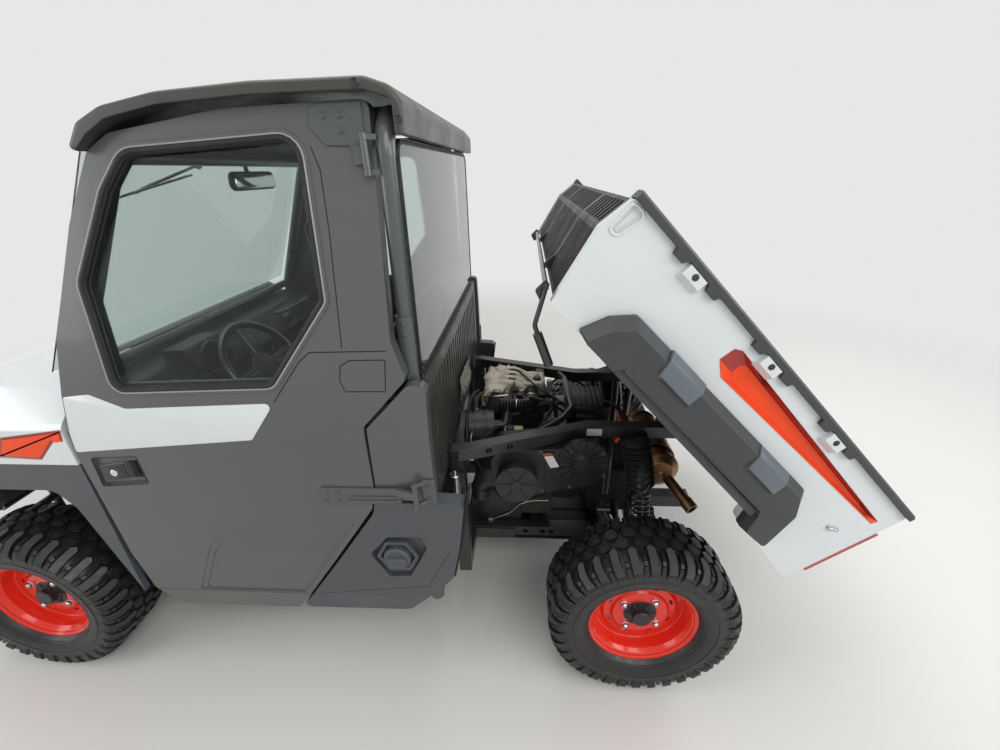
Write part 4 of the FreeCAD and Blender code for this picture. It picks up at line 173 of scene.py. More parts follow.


# Where a finish lightens its edges, this is partly wear and partly a painted highlight
GRAINED = {"tint": 0.10, "grain": 0.0016, "height": 0.00022, "kind": "cells", "edge_wear_and_highlight": 0.25}
FINISH_TABLE = {
    "satin_grey": ((82, 82, 82), 0.36, dict(coat=0.25, tint=0.07, patch=0.5, wear=0.07, grain=0.0011,
                                            height=0.00006)),
    "grained_grey": ((72, 75, 79), 0.46, GRAINED),
    "flare_grey": ((57, 58, 60), 0.46, GRAINED),
    "roof_plastic": ((58, 57, 54), 0.40, dict(tint=0.14, patch=0.35, wear=0.12, grain=0.0016, height=0.0002,
                                              kind="cells", edge=0.004)),
    "white_gloss": ((212, 216, 217), 0.24, dict(coat=0.7, tint=0.03, wear=0.05, grain=0.004, height=0.00003)),
    "orange_gloss": ((238, 74, 24), 0.36, dict(coat=0.10, tint=0.06, wear=0.06, grain=0.004, height=0.00003)),
    # A darker red copy of the orange insert paint: painted shade on the insert's bevels and downward walls
    "red_bevel": ((158, 30, 22), 0.30, dict(coat=0.5, tint=0.08, wear=0.06)),
    "rim_red": ((226, 48, 30), 0.24, dict(coat=0.45, tint=0.07, wear=0.07, grain=0.006, height=0.00006,
                                          edge=0.002)),
    "black_plastic": ((34, 35, 36), 0.42, dict(tint=0.15, grain=0.0014, height=0.00018, kind="cells",
                                               edge_wear_and_highlight=0.12)),
    "black_gloss": ((24, 25, 27), 0.20, dict(coat=0.4, tint=0.12, wear=0.08)),
    "black_tube": ((46, 48, 50), 0.30, dict(coat=0.35, tint=0.10, wear=0.08, grain=0.0022, height=0.00008,
                                            edge_wear_and_highlight=0.10)),
    "bed_black": ((21, 21, 20), 0.46, dict(tint=0.12, grain=0.003, height=0.0001, edge=0.0)),
    "cage_grey": ((74, 78, 78), 0.34, dict(coat=0.3, tint=0.08, wear=0.09, grain=0.002, height=0.00006)),
    "frame_paint": ((38, 39, 40), 0.36, dict(coat=0.2, tint=0.16, wear=0.12, grain=0.0025, height=0.00012,
                                             edge=0.003, edge_wear_and_highlight=0.18)),
    "tyre_rubber": ((29, 29, 30), 0.42, dict(tint=0.22, patch=0.05, wear=0.12, grain=0.003, height=0.00016,
                                             edge=0.0022)),
    "soft_rubber": ((22, 22, 23), 0.62, dict(tint=0.15, grain=0.002, height=0.0001)),
    "steel": ((176, 178, 182), 0.30, dict(metallic=1.0, tint=0.10, wear=0.12, grain=0.0012, height=0.00006)),
    "chrome": ((214, 216, 220), 0.12, dict(metallic=1.0, tint=0.05, wear=0.06, grain=0.003, height=0.00002)),
    "cast_alloy": ((214, 204, 186), 0.55, dict(metallic=0.25, tint=0.16, patch=0.06, wear=0.14, grain=0.003,
                                               height=0.0005, edge=0.003)),
    "cast_dark": ((56, 54, 50), 0.55, dict(metallic=0.4, tint=0.18, patch=0.08, wear=0.15, grain=0.003,
                                           height=0.0004, edge=0.003)),
    "muffler_dark": ((136, 106, 76), 0.38, dict(metallic=0.9, tint=0.30, patch=0.06, wear=0.16, grain=0.002,
                                                height=0.0001)),
    "foil": ((188, 186, 180), 0.34, dict(metallic=0.9, tint=0.12, patch=0.03, wear=0.16, grain=0.012,
                                         height=0.003)),
    # The flare's grey plastic made lighter and bluer for the raised wedges: painted cool window light
    "wedge_grey": ((92, 100, 107), 0.40, dict(tint=0.08, grain=0.0016, height=0.0002, kind="cells")),
    "clay_label": ((222, 222, 218), 0.45, dict(tint=0.04, edge=0.0006)),
    "label_red": ((190, 40, 34), 0.45, dict(tint=0.05, edge=0.0006)),
    "pale_tank": ((196, 200, 150), 0.40, dict(tint=0.10, patch=0.05)),
    "vinyl": ((36, 36, 38), 0.48, dict(tint=0.12, patch=0.12, wear=0.08, grain=0.0022, height=0.0003,
                                       kind="cells", edge=0.0)),
    "seal_grey": ((150, 152, 150), 0.40, dict(tint=0.06)),
    "red_lens": ((168, 20, 18), 0.12, dict(coat=1.0, tint=0.08, grain=0.004, height=0.0004, kind="cells")),
}
FINISHES = {name: finish(name, srgb(*colour), rough, **more)
            for name, (colour, rough, more) in FINISH_TABLE.items()}
FINISHES["clear_lens"] = glass_finish("clear_lens", srgb(236, 240, 242))
FINISHES["window_glass"] = glass_finish("window_glass", srgb(214, 224, 220))

# A low specular level keeps the saturated paints from going pale under the lamps
SATURATED_SPECULAR = 0.25
for finish_name in ("orange_gloss", "rim_red", "red_bevel"):
    shader = FINISHES[finish_name].node_tree.nodes["Principled BSDF"]
    shader.inputs["Specular IOR Level"].default_value = SATURATED_SPECULAR

FINISH_NODES = {
    "frame_paint": "main_frame rear_frame front_frame suspension_arms",
    "black_plastic": "air_box cab_tub cvt_cover dashboard",
    "cast_alloy": "intake",
    "pale_tank": "reservoir",
    "bed_black": "bed_box tailgate",
    "flare_grey": "bed_flares bed_rails",
    "black_tube": "bed_latch front_bumper lift_barrel shocks",
    "white_gloss": "bed_panels hood",
    "window_glass": "cab_glass door_left_glass door_right_glass",
    "satin_grey": "door_left door_right quarter_panels",
    "cage_grey": "door_left_hinges door_right_hinges hinge_brackets roll_cage",
    "cast_dark": "engine knuckle_left knuckle_right rear_knuckles transaxle",
    "grained_grey": "front_lower_body fuel_cap rocker_panels",
    "soft_rubber": "half_shafts mud_flaps",
    "clear_lens": "headlights",
    "chrome": "lift_rod",
    "muffler_dark": "muffler",
    "roof_plastic": "rear_cab_panel roof",
    "rim_red": "rim_front_left rim_front_right rim_rear_left rim_rear_right",
    "vinyl": "seat_back seat_cushion",
    "black_gloss": "steering_wheel",
    "red_lens": "tail_lamps",
}


def dress_nodes():
    """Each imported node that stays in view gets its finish."""
    for finish_name, names in FINISH_NODES.items():
        for name in names.split():
            data = nodes[name].data
            data.materials.clear()
            data.materials.append(FINISHES[finish_name])


# Shape helpers

def in_side(u, v, w):
    return Vector((u, w, v))


def in_front(u, v, w):
    return Vector((w, u, v))


def in_plan(u, v, w):
    return Vector((u, v, w))


def rounded(corners, steps=5):
    """Corners of (u, v) or (u, v, radius) as a list of points with round corners."""
    points = []
    count = len(corners)
    for i, corner in enumerate(corners):
        here = Vector(corner[:2])
        radius = corner[2] if len(corner) > 2 else 0.0
        if radius <= 0.0:
            points.append(here)
            continue
        back = (Vector(corners[i - 1][:2]) - here).normalized()
        ahead = (Vector(corners[(i + 1) % count][:2]) - here).normalized()
        half = back.angle(ahead) / 2.0
        reach = radius / math.tan(half)
        centre = here + (back + ahead).normalized() * (radius / math.sin(half))
        first = here + back * reach - centre
        last = here + ahead * reach - centre
        turn = first.angle_signed(last)
        for k in range(steps + 1):
            angle = -turn * k / steps
            points.append(centre + Matrix.Rotation(angle, 2) @ first)
    return points


def skin_y(z):
    """Half width of the body at a height."""
    for (z0, y0), (z1, y1) in zip(SKIN, SKIN[1:]):
        if z <= z1:
            return y0 + (y1 - y0) * (z - z0) / (z1 - z0)
    return SKIN[-1][1]


def bevel_edges(mesh, faces, width, segments=2, sharp=25.0):
    """Rounds the sharp edges of some faces."""
    edges = set()
    for face in faces:
        for edge in face.edges:
            if len(edge.link_faces) == 2 and edge.calc_face_angle(0.0) > math.radians(sharp):
                edges.add(edge)
    if edges and width > 0.0:
        bmesh.ops.bevel(mesh, geom=list(edges), offset=width, segments=segments, profile=0.5,
                        affect="EDGES", clamp_overlap=True)


def add_prism(mesh, corners, place, low, high, bevel=0.0, segments=2):
    """An outline in one view, run from low to high along the third axis."""
    points = rounded(corners)
    bottom = [mesh.verts.new(place(p.x, p.y, low)) for p in points]
    top = [mesh.verts.new(place(p.x, p.y, high)) for p in points]
    faces = [mesh.faces.new(bottom), mesh.faces.new(list(reversed(top)))]
    for i in range(len(points)):
        j = (i + 1) % len(points)
        faces.append(mesh.faces.new((bottom[i], top[i], top[j], bottom[j])))
    bmesh.ops.recalc_face_normals(mesh, faces=faces)
    bevel_edges(mesh, faces, bevel, segments)


def add_block(mesh, low, high, bevel=0.0, segments=2):
    corners = [(low[0], low[1]), (high[0], low[1]), (high[0], high[1]), (low[0], high[1])]
    add_prism(mesh, corners, in_plan, low[2], high[2], bevel, segments)


def axis_frame(way):
    """Two directions across a direction."""
    way = way.normalized()
    other = Vector(UP if abs(way.z) < 0.9 else AHEAD)
    first = way.cross(other).normalized()
    return first, way.cross(first).normalized()


def add_lathe(mesh, profile, centre, way, sides=32, closed=False):
    """A profile of (distance along the axis, radius) turned about it. The ends are closed by caps."""
    way = Vector(way).normalized()
    first, second = axis_frame(way)
    rings = []
    for along, radius in profile:
        ring = []
        for k in range(sides):
            angle = 2.0 * math.pi * k / sides
            spoke = first * math.cos(angle) + second * math.sin(angle)
            ring.append(mesh.verts.new(Vector(centre) + way * along + spoke * max(radius, 0.01)))
        rings.append(ring)
    faces = []
    pairs = list(zip(rings, rings[1:]))
    if closed:
        pairs.append((rings[-1], rings[0]))
    for lower, upper in pairs:
        for k in range(sides):
            j = (k + 1) % sides
            faces.append(mesh.faces.new((lower[k], lower[j], upper[j], upper[k])))
    if not closed:
        faces.append(mesh.faces.new(rings[0]))
        faces.append(mesh.faces.new(list(reversed(rings[-1]))))
    bmesh.ops.recalc_face_normals(mesh, faces=faces)


def add_rod(mesh, start, end, radius, sides=20, chamfer=0.0):
    start, end = Vector(start), Vector(end)
    length = (end - start).length
    profile = [(0.0, radius), (length, radius)]
    if chamfer > 0.0:
        profile = [(0.0, radius - chamfer), (chamfer, radius), (length - chamfer, radius),
                   (length, radius - chamfer)]
    add_lathe(mesh, profile, start, end - start, sides)


def smooth_path(points, bend, steps=6):
    """A path whose corners are rounded by an arc."""
    path = [Vector(points[0])]
    for i in range(1, len(points) - 1):
        corner = Vector(points[i])
        back = Vector(points[i - 1]) - corner
        ahead = Vector(points[i + 1]) - corner
        reach = min(bend, 0.48 * back.length, 0.48 * ahead.length)
        start = corner + back.normalized() * reach
        end = corner + ahead.normalized() * reach
        for k in range(steps + 1):
            t = k / steps
            path.append(start.lerp(corner, t).lerp(corner.lerp(end, t), t))
    path.append(Vector(points[-1]))
    return path


def add_sweep(mesh, path, section, closed=False, normal=None):
    """A section of (across, up) corners carried along a path.

    The up direction starts as normal and turns with the path.
    """
    count = len(path)
    rings = []
    up = Vector(normal) if normal else None
    for i, point in enumerate(path):
        before = path[i - 1] if closed or i > 0 else point
        after = path[(i + 1) % count] if closed or i < count - 1 else point
        way = (after - before).normalized()
        if up is None:
            up = axis_frame(way)[0]
        across = way.cross(up).normalized()
        if not normal:
            up = across.cross(way).normalized()
        rings.append([mesh.verts.new(point + across * a + up * b) for a, b in section])
    faces = []
    size = len(section)
    for i in range(count if closed else count - 1):
        lower, upper = rings[i], rings[(i + 1) % count]
        for k in range(size):
            j = (k + 1) % size
            faces.append(mesh.faces.new((lower[k], lower[j], upper[j], upper[k])))
    if not closed:
        faces.append(mesh.faces.new(rings[0]))
        faces.append(mesh.faces.new(list(reversed(rings[-1]))))
    bmesh.ops.recalc_face_normals(mesh, faces=faces)


def circle(radius, sides=12):
    return [(radius * math.cos(2 * math.pi * k / sides), radius * math.sin(2 * math.pi * k / sides))
            for k in range(sides)]


def add_tube(mesh, points, radius, bend=30.0, sides=12):
    add_sweep(mesh, smooth_path(points, bend), circle(radius, sides))


def add_bolt(mesh, at, way, radius, washer=1.6, head=5.0):
    """A flange bolt: a round washer face, a six sided head and a small dish on top."""
    at, way = Vector(at), Vector(way).normalized()
    add_lathe(mesh, [(-1.0, radius * 1.5), (washer * 0.7, radius * 1.5), (washer, radius * 1.3)], at, way, 20)
    add_lathe(mesh, [(washer * 0.5, radius), (washer + head - 0.8, radius), (washer + head, radius * 0.86),
                     (washer + head, radius * 0.5), (washer + head - 0.7, radius * 0.42)], at, way, 6)


def bend_to_skin(mesh):
    """Carries a flat sheet, drawn with y as its height, onto the side of the body."""
    for z, _ in SKIN[1:-1]:
        geometry = list(mesh.verts) + list(mesh.edges) + list(mesh.faces)
        bmesh.ops.bisect_plane(mesh, geom=geometry, plane_co=(0, 0, z), plane_no=UP)
    for vert in mesh.verts:
        vert.co.y += skin_y(vert.co.z)


def mesh_data(name, mesh):
    """The shapes of an edit mesh, which is freed, as a mesh that objects can have."""
    data = bpy.data.meshes.new(name)
    mesh.to_mesh(data)
    mesh.free()
    return data


def add_object(name, data):
    """An object that is linked to the scene."""
    obj = bpy.data.objects.new(name, data)
    scene.collection.objects.link(obj)
    return obj


RAISE = (Matrix.Translation(BED_HINGE) @ Matrix.Rotation(math.radians(-BED_RAISED), 4, "Y")
         @ Matrix.Translation(-BED_HINGE))


def piece(name, mesh, finish_name, body, side=1.0, place=None, sharp=32.0):
    """An object from a mesh drawn in millimetres, mirrored to the right where side is negative."""
    if place is not None:
        mesh.transform(place)
    mesh.transform(Matrix.Diagonal((MM, MM * side, MM, 1.0)))
    if side < 0.0:
        bmesh.ops.reverse_faces(mesh, faces=mesh.faces)
    data = mesh_data(name, mesh)
    data.polygons.foreach_set("use_smooth", [True] * len(data.polygons))
    data.set_sharp_from_angle(angle=math.radians(sharp))
    obj = add_object(name, data)
    data.materials.append(FINISHES[finish_name])
    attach(obj, body)
    return obj


def placer(body, side_name="", side=1.0, place=None):
    """A function that puts pieces on a body, with the side's name at their end."""
    ending = "_" + side_name if side_name else ""

    def put(name, finish_name, slot, mesh, own_body=body):
        obj = piece(name + ending, mesh, finish_name, own_body, side, place)
    return put


def shapes(blocks=(), rods=(), tubes=(), lathes=(), bolts=(), prisms=()):
    """A new mesh of simple shapes, each row being what its helper takes."""
    mesh = bmesh.new()
    for add, rows in ((add_block, blocks), (add_rod, rods), (add_tube, tubes), (add_lathe, lathes),
                      (add_bolt, bolts), (add_prism, prisms)):
        for row in rows:
            add(mesh, *row)
    return mesh


def round_spokes(count, start=0.0):
    """Unit vectors round the across axis, at even angles."""
    for k in range(count):
        angle = math.radians(start + 360.0 / count * k)
        yield Vector((math.cos(angle), 0.0, math.sin(angle)))


# Tyres

# Columns are y, the radius of the lugs' tops and the radius of the groove floor
CROWN_PATH = [(0, 338, 323), (40, 338, 322.5), (88, 336, 320), (108, 329, 313),
              (121, 316, 302), (126.5, 300, 288), (126.5, 282, 272), (124.5, 262, 258)]
# Half of the carcass's section as (y, radius), its bore and the sides it is turned in
CARCASS = [(-83, 179), (-86, 191), (-100, 198), (-114, 214), (-121, 236),
           (-122, 258), (-119, 282), (-111, 300), (-98, 312), (-84, 319),
           (-50, 322), (0, 323)]
BORE = [(60, 179), (-60, 179)]
CARCASS_SIDES = 112
# Raised rings on the side wall, as radius and y
WALL_RINGS = ((204, 105.5), (212, 113), (250, 122.6))
CENTRE_BLOCK = [(0, 0.05), (22.5, 0.28), (23.5, 0.88), (3, 1.13), (-21.5, 0.92), (-23.5, 0.30)]
# The small top of a centre block, drawn towards the block's middle
BLOCK_MIDDLE = 0.58
BLOCK_TOP_SHARE = 0.42
# The bars start further in at every other pitch, and have an end, half widths there and a lean
BAR_STARTS = (1.34, 1.22)
BAR = (5.15, 15.5, 18, 5)
# Ends of the bars, and the ribs between them. Columns are start and end along the path, half width at
# each, steps, height, and the share of a pitch that they are turned by
TREAD_RIBS = [
    (5.25, 5.60, 18, 18, 2, 0.86, 0.5), (5.72, 6.90, 18, 17, 3, 0.60, 0.5),
    (1.55, 2.30, 6, 7, 3, 0.66, 0), (2.45, 3.30, 7, 8, 3, 0.52, 0),
    (3.45, 6.30, 8, 10, 6, 0.38, 0)
]


def crown_point(reach, share):
    """A point of the tread at an across distance in path units.

    Share is 0 at the groove floor and 1 at the lug's top.
    """
    knot = min(int(reach), len(CROWN_PATH) - 2)
    part = reach - knot
    (y0, top0, low0), (y1, top1, low1) = CROWN_PATH[knot], CROWN_PATH[knot + 1]
    y_top = y0 + (y1 - y0) * part
    top = top0 + (top1 - top0) * part
    low = low0 + (low1 - low0) * part
    y_low = y_top - (4.5 if reach > 3 else 0) - 2 * max(0, reach - 4)
    return y_low + (y_top - y_low) * share, low + (top - low) * share


def add_lug(mesh, outline, turn, side, height, sunk=-0.35, taper=0.88):
    """A lug from an outline of (along in mm, reach in path units) corners."""
    middle = sum(p[0] for p in outline) / len(outline)
    rows = []
    for share, narrow in ((sunk, 1), (height * 0.82, (1 + taper) / 2), (height, taper - 0.04)):
        ring = []
        for along, reach in outline:
            y, radius = crown_point(reach, share)
            angle = turn + (middle + (along - middle) * narrow) / TYRE_R
            ring.append(mesh.verts.new((radius * math.sin(angle), side * y, radius * math.cos(angle))))
        rows.append(ring)
    count = len(outline)
    for lower, upper in zip(rows, rows[1:]):
        for k in range(count):
            j = (k + 1) % count
            mesh.faces.new((lower[k], lower[j], upper[j], upper[k]))
    mesh.faces.new(rows[-1])


def long_outline(start, end, half_in, half_out, shift=0, steps=7):
    """A bar from start to end in path units, pointed at its inner end."""
    left, right = [], []
    for k in range(steps + 1):
        reach = start + (end - start) * k / steps
        half = half_in + (half_out - half_in) * k / steps
        lean = shift * (1 - k / steps)
        left.append((lean - half, reach))
        right.append((lean + half, reach))
    return [(shift, start - 0.22)] + right + list(reversed(left))


def tyre_mesh():
    """Carcass with two rows of six sided blocks, and bars that wrap down over each shoulder."""
    mesh = bmesh.new()
    profile = CARCASS + [(-y, r) for y, r in reversed(CARCASS[:-1])]
    add_lathe(mesh, profile + BORE, (0, 0, 0), OUT, CARCASS_SIDES, closed=True)
    for radius, y in WALL_RINGS:
        for side in (-1, 1):
            ring = [Vector((b, side * y, a)) for a, b in circle(radius, CARCASS_SIDES)]
            add_sweep(mesh, ring, circle(1.3, 6), closed=True)
    block_top = [(along * BLOCK_TOP_SHARE, BLOCK_MIDDLE + (reach - BLOCK_MIDDLE) * BLOCK_TOP_SHARE)
                 for along, reach in CENTRE_BLOCK]
    pitch = 2 * math.pi / LUG_PITCHES
    for k in range(LUG_PITCHES):
        for side in (-1, 1):
            turn = (k + (0.5 if side > 0 else 0)) * pitch
            add_lug(mesh, CENTRE_BLOCK, turn, side, 0.92)
            add_lug(mesh, block_top, turn, side, 0.985, sunk=0.9)
            bar = long_outline(BAR_STARTS[k % 2], *BAR)
            add_lug(mesh, bar, turn + pitch * 0.5, side, 1)
            for start, end, half_in, half_out, steps, height, share in TREAD_RIBS:
                outline = long_outline(start, end, half_in, half_out, steps=steps)[1:]
                add_lug(mesh, outline, turn + pitch * share, side, height)
    return mesh


def dress_wheels():
    """Tyres with their lugs, and the fasteners of each rim, one set for each wheel body."""
    source = tyre_mesh()
    for end in ("front", "rear"):
        for side_name, side in SIDES:
            place_name = "%s_%s" % (end, side_name)
            body = "wheel_" + place_name
            centre = wheel_centre("tyre_" + place_name)
            centre.y *= side
            tyre = piece("tread_" + place_name, source.copy(), "tyre_rubber", body, side,
                         Matrix.Translation(centre), sharp=28)
            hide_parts("tyre_%s_%s" % (end, side_name))
            dress_rim(place_name, side, centre, body)
    source.free()


# Wheel nuts: height of the disc's face and radius of the nuts' circle, then profiles
DISC_FACE = 40
NUT_CIRCLE = 78
NUT = [(1, 11.5), (13, 10.5), (17, 7), (18, 2)]
NUT_SEAT = [(-1, 14.5), (3.2, 13.6), (4.6, 11)]
HUB_PLATE = [(-1, 59.4), (1.8, 59.2), (3, 57.8), (3, 43.4), (7, 42.8), (7, 31.2), (21.4, 31),
             (22, 33.2), (28, 33.2), (30.9, 31), (31.2, 26), (30.8, 12)]


def dress_rim(place_name, side, centre, body):
    """Four nuts in pressed seats, the dark centre plate and its post cap."""
    put = placer(body, place_name, side)
    at = centre + Vector((0, DISC_FACE, 0))
    nuts = bmesh.new()
    for spoke in round_spokes(4, 38):
        add_lathe(nuts, NUT, at + spoke * NUT_CIRCLE, OUT, 6)
        add_lathe(nuts, NUT_SEAT, at + spoke * NUT_CIRCLE, OUT, 24)
    put("nuts", "steel", "steel", nuts)
    plate = shapes(lathes=[(HUB_PLATE, at, OUT, 40)])
    for spoke in round_spokes(6):
        inner = at + spoke * 30 + Vector((0, 9, 0))
        add_rod(plate, inner, at + spoke * 56 + Vector((0, 3, 0)), 4.2, 8)
    put("hub_plate", "black_plastic", "black_plastic", plate)


# Doors, with outlines as (x, z) and a corner radius on the side of the body

WINDOW = [(-22, 1900, 45), (-30, 1512, 20), (150, 1278, 30), (622, 1262, 30), (633, 1560, 60),
          (500, 1790, 60), (425, 1876, 60)]
DOOR_BAND = [(797, 1234, 8), (716, 1243, 30), (612, 1199, 30), (150, 1219, 14), (238, 1101, 14),
             (822, 1048, 8)]
DOOR_SEAMS = [
    [(149, 1222), (58, 1340), (23, 1369), (-195, 1373)],
    [(-56, 1880), (-73, 1828), (-77, 1685), (-72, 1382)],
    [(-61, 1330), (-89, 1346), (-190, 1348), (-184, 1256), (-67, 1255), (-55, 1287), (-61, 1329)],
    [(788, 417), (215, 417)],
]
LATCH_RECESS = [(787, 1027, 8), (634, 1034, 8), (630, 928, 8), (792, 913, 8)]
LATCH_PADDLE = [(769, 991, 6), (688, 1005, 4), (687, 950, 4), (772, 935, 6)]
LATCH_BED = [(679, 1010), (644, 1013), (644, 947), (679, 947)]
LOCK = (732, 969)
LOCK_FACE = [(-3, 12), (1.6, 12), (3, 10.5), (3.2, 8), (2.2, 7), (2.2, 1)]
# Bolts stand on the hinge straps, this far off the skin, and above the belt line they lean with it
STRAP_LIFT = 5.8
BELT_Z = 1120
BELT_LEAN = 0.07
STRAP_BOLTS = [(46, 912), (8, 911), (47, 880), (9, 880)]
CORNER_BOLTS = [(-100, 1945), (-140, 1945), (-138, 1912)]
INNER_PANEL = [(760, 470, 30), (770, 1160, 40), (120, 1180, 40), (-60, 1150, 40), (-60, 900, 60),
               (250, 470, 40)]
ARM_REST = [(560, 960, 20), (540, 1010, 16), (120, 1020, 16), (100, 960, 20)]
# Beads round the window: how far outside it, radius, lift off the skin and flatness
WINDOW_TRIM = [(14, 2.6, 3.4, 1)]
WINDOW_SEAL = [(5.5, 6.5, 2.6, 0.7), (0, 5, -4, 1), (-2, 5, -16, 1)]


def grown(corners, reach):
    """Corners moved outwards by a reach, each along its own bisector."""
    points = rounded(corners)
    centre = sum(points, Vector((0, 0))) / len(points)
    result = []
    for i, point in enumerate(points):
        way = (points[(i + 1) % len(points)] - points[i - 1]).normalized()
        out = Vector((way.y, -way.x))
        if out.dot(point - centre) < 0:
            out = -out
        result.append(point + out * reach)
    return result


def add_skin_bead(mesh, corners, reach, radius, lift, flat=1):
    """A bead on the body side, at a distance outside an outline."""
    path = [Vector((p.x, skin_y(p.y) + lift, p.y)) for p in grown(corners, reach)]
    section = [(a, b * flat) for a, b in circle(radius, 8)]
    add_sweep(mesh, path, section, closed=True, normal=OUT)


def add_skin_plate(mesh, corners, low, high, bevel=1, segments=2):
    """A flat plate between two heights above the body side."""
    plate = shapes(prisms=[(corners, in_side, low, high, bevel, segments)])
    bend_to_skin(plate)
    data = mesh_data("scratch", plate)
    mesh.from_mesh(data)
    bpy.data.meshes.remove(data)


def dress_doors():
    """Band, beads, seams, latch, lock, bolts and inner panel of each door."""
    for side_name, side in SIDES:
        put = placer("door_" + side_name, side_name, side)
        band = bmesh.new()
        add_skin_plate(band, DOOR_BAND, -1, 3.2, 1.6, 3)
        put("door_band", "white_gloss", "white_body", band)

        for name, finish_name, slot, beads in (("window_trim", "seal_grey", "steel", WINDOW_TRIM),
                                               ("window_seal", "soft_rubber", "flap_rubber", WINDOW_SEAL)):
            seal = bmesh.new()
            for bead in beads:
                add_skin_bead(seal, WINDOW, *bead)
            put(name, finish_name, slot, seal)
        seams = [([(x, skin_y(z) - 1.6, z) for x, z in points], 1.3, 8, 6) for points in DOOR_SEAMS]
        put("door_seams", "soft_rubber", "flap_rubber", shapes(tubes=seams))

        latch = bmesh.new()
        add_skin_plate(latch, LATCH_PADDLE, -2.4, 0.6, 1.4)
        add_skin_plate(latch, LATCH_BED, -31, -29, 0.5)
        add_skin_bead(latch, LATCH_RECESS, -1, 1.8, 0.2)
        put("latch_paddle", "black_plastic", "black_plastic", latch)
        x, z = LOCK
        y = skin_y(z)
        put("lock", "chrome", "chrome_rod", shapes(lathes=[(LOCK_FACE, (x, y, z), OUT, 24)], blocks=[
            ((x - 1, y + 2, z - 4), (x + 1, y + 3.2, z + 4), 0.3)]))
        put("hinge_bolts", "cage_grey", "black_tube", shapes(bolts=[
            ((x, skin_y(z) + STRAP_LIFT, z), (0, 1, BELT_LEAN if z > BELT_Z else 0), 6.5)
            for x, z in STRAP_BOLTS + CORNER_BOLTS]))
        put("inner_panel", "black_plastic", "black_plastic", shapes(prisms=[
            (INNER_PANEL, in_side, 690, 699.5, 3), (ARM_REST, in_side, 662, 692, 9, 3)]))


# Bed, with its outlines as (x, z) and a corner radius while it is lowered

BED_RECESS = [(-781, 1096), (-783, 1140), (-802, 1151), (-1566, 1124), (-1560, 1106), (-826, 1068)]
BED_RECESS_FLOOR = [(-846, 1096), (-844, 1126), (-858, 1136), (-1540, 1117), (-1532, 1112), (-872, 1081)]
RECESS_DEPTH = 20
RAIL_BLOCKS = (-552, -880, -1204)
CORNER_RECESS = [(-322, 1180, 8), (-364, 1184, 14), (-347, 1106, 12), (-325, 1106, 8)]
FLARE_UNDER = [(-576, 886, 3), (-612, 908, 6), (-1241, 900, 6), (-1238, 868, 3), (-592, 882, 3)]
FLARE_EDGE = [(-594, 905, 3), (-612, 911, 5), (-1236, 901, 5), (-1236, 895, 3)]
# Raised wedges on the flare, columns are x from and to, and their section as (y, z)
FLARE_WEDGES = [(-676, -796), (-1074, -1196)]
WEDGE_SECTION = [(744, 1026), (751.5, 1029.5), (779.5, 1008), (786.6, 963), (777, 954), (744, 954)]
# Where the tie loop runs, as x, distance off the skin and z
TIE_LOOP = [(-1484, -1, 1006), (-1486, 8, 1008), (-1510, 8, 1020), (-1512, -1, 1022)]
LINER_RIBS = [-470 - 125 * k for k in range(9)]
GATE_HANDLE = [(-1613, 482, 1146), (-1626, 486, 1146), (-1626, 544, 1146), (-1613, 548, 1146)]


def add_wedge(mesh, rows):
    """A closed prism between two end outlines."""
    ends = [[mesh.verts.new(point) for point in row] for row in rows]
    faces = [mesh.faces.new(ends[0]), mesh.faces.new(list(reversed(ends[1])))]
    count = len(rows[0])
    for i in range(count):
        j = (i + 1) % count
        faces.append(mesh.faces.new((ends[0][i], ends[1][i], ends[1][j], ends[0][j])))
    bmesh.ops.recalc_face_normals(mesh, faces=faces)
    bevel_edges(mesh, faces, 1.2)


def recess_wall(first, count, thick=1):
    """Some of the sloping walls of the bed's recess, with a layer behind them."""
    mesh = bmesh.new()
    high = BED_SKIN_Y + 1.4
    low = BED_SKIN_Y - RECESS_DEPTH + 1.4
    rows = []
    for corners, depth in ((BED_RECESS, high), (BED_RECESS_FLOOR, low), (BED_RECESS_FLOOR, low - thick),
                           (BED_RECESS, high - thick)):
        picked = [corners[(first + k) % len(corners)] for k in range(count + 1)]
        rows.append([mesh.verts.new(in_side(x, z, depth)) for x, z in picked])
    faces = []
    for a, b in zip(rows, rows[1:] + rows[:1]):
        for k in range(count):
            faces.append(mesh.faces.new((a[k], a[k + 1], b[k + 1], b[k])))
    for k in (0, count):
        faces.append(mesh.faces.new([row[k] for row in rows]))
    bmesh.ops.recalc_face_normals(mesh, faces=faces)
    return mesh


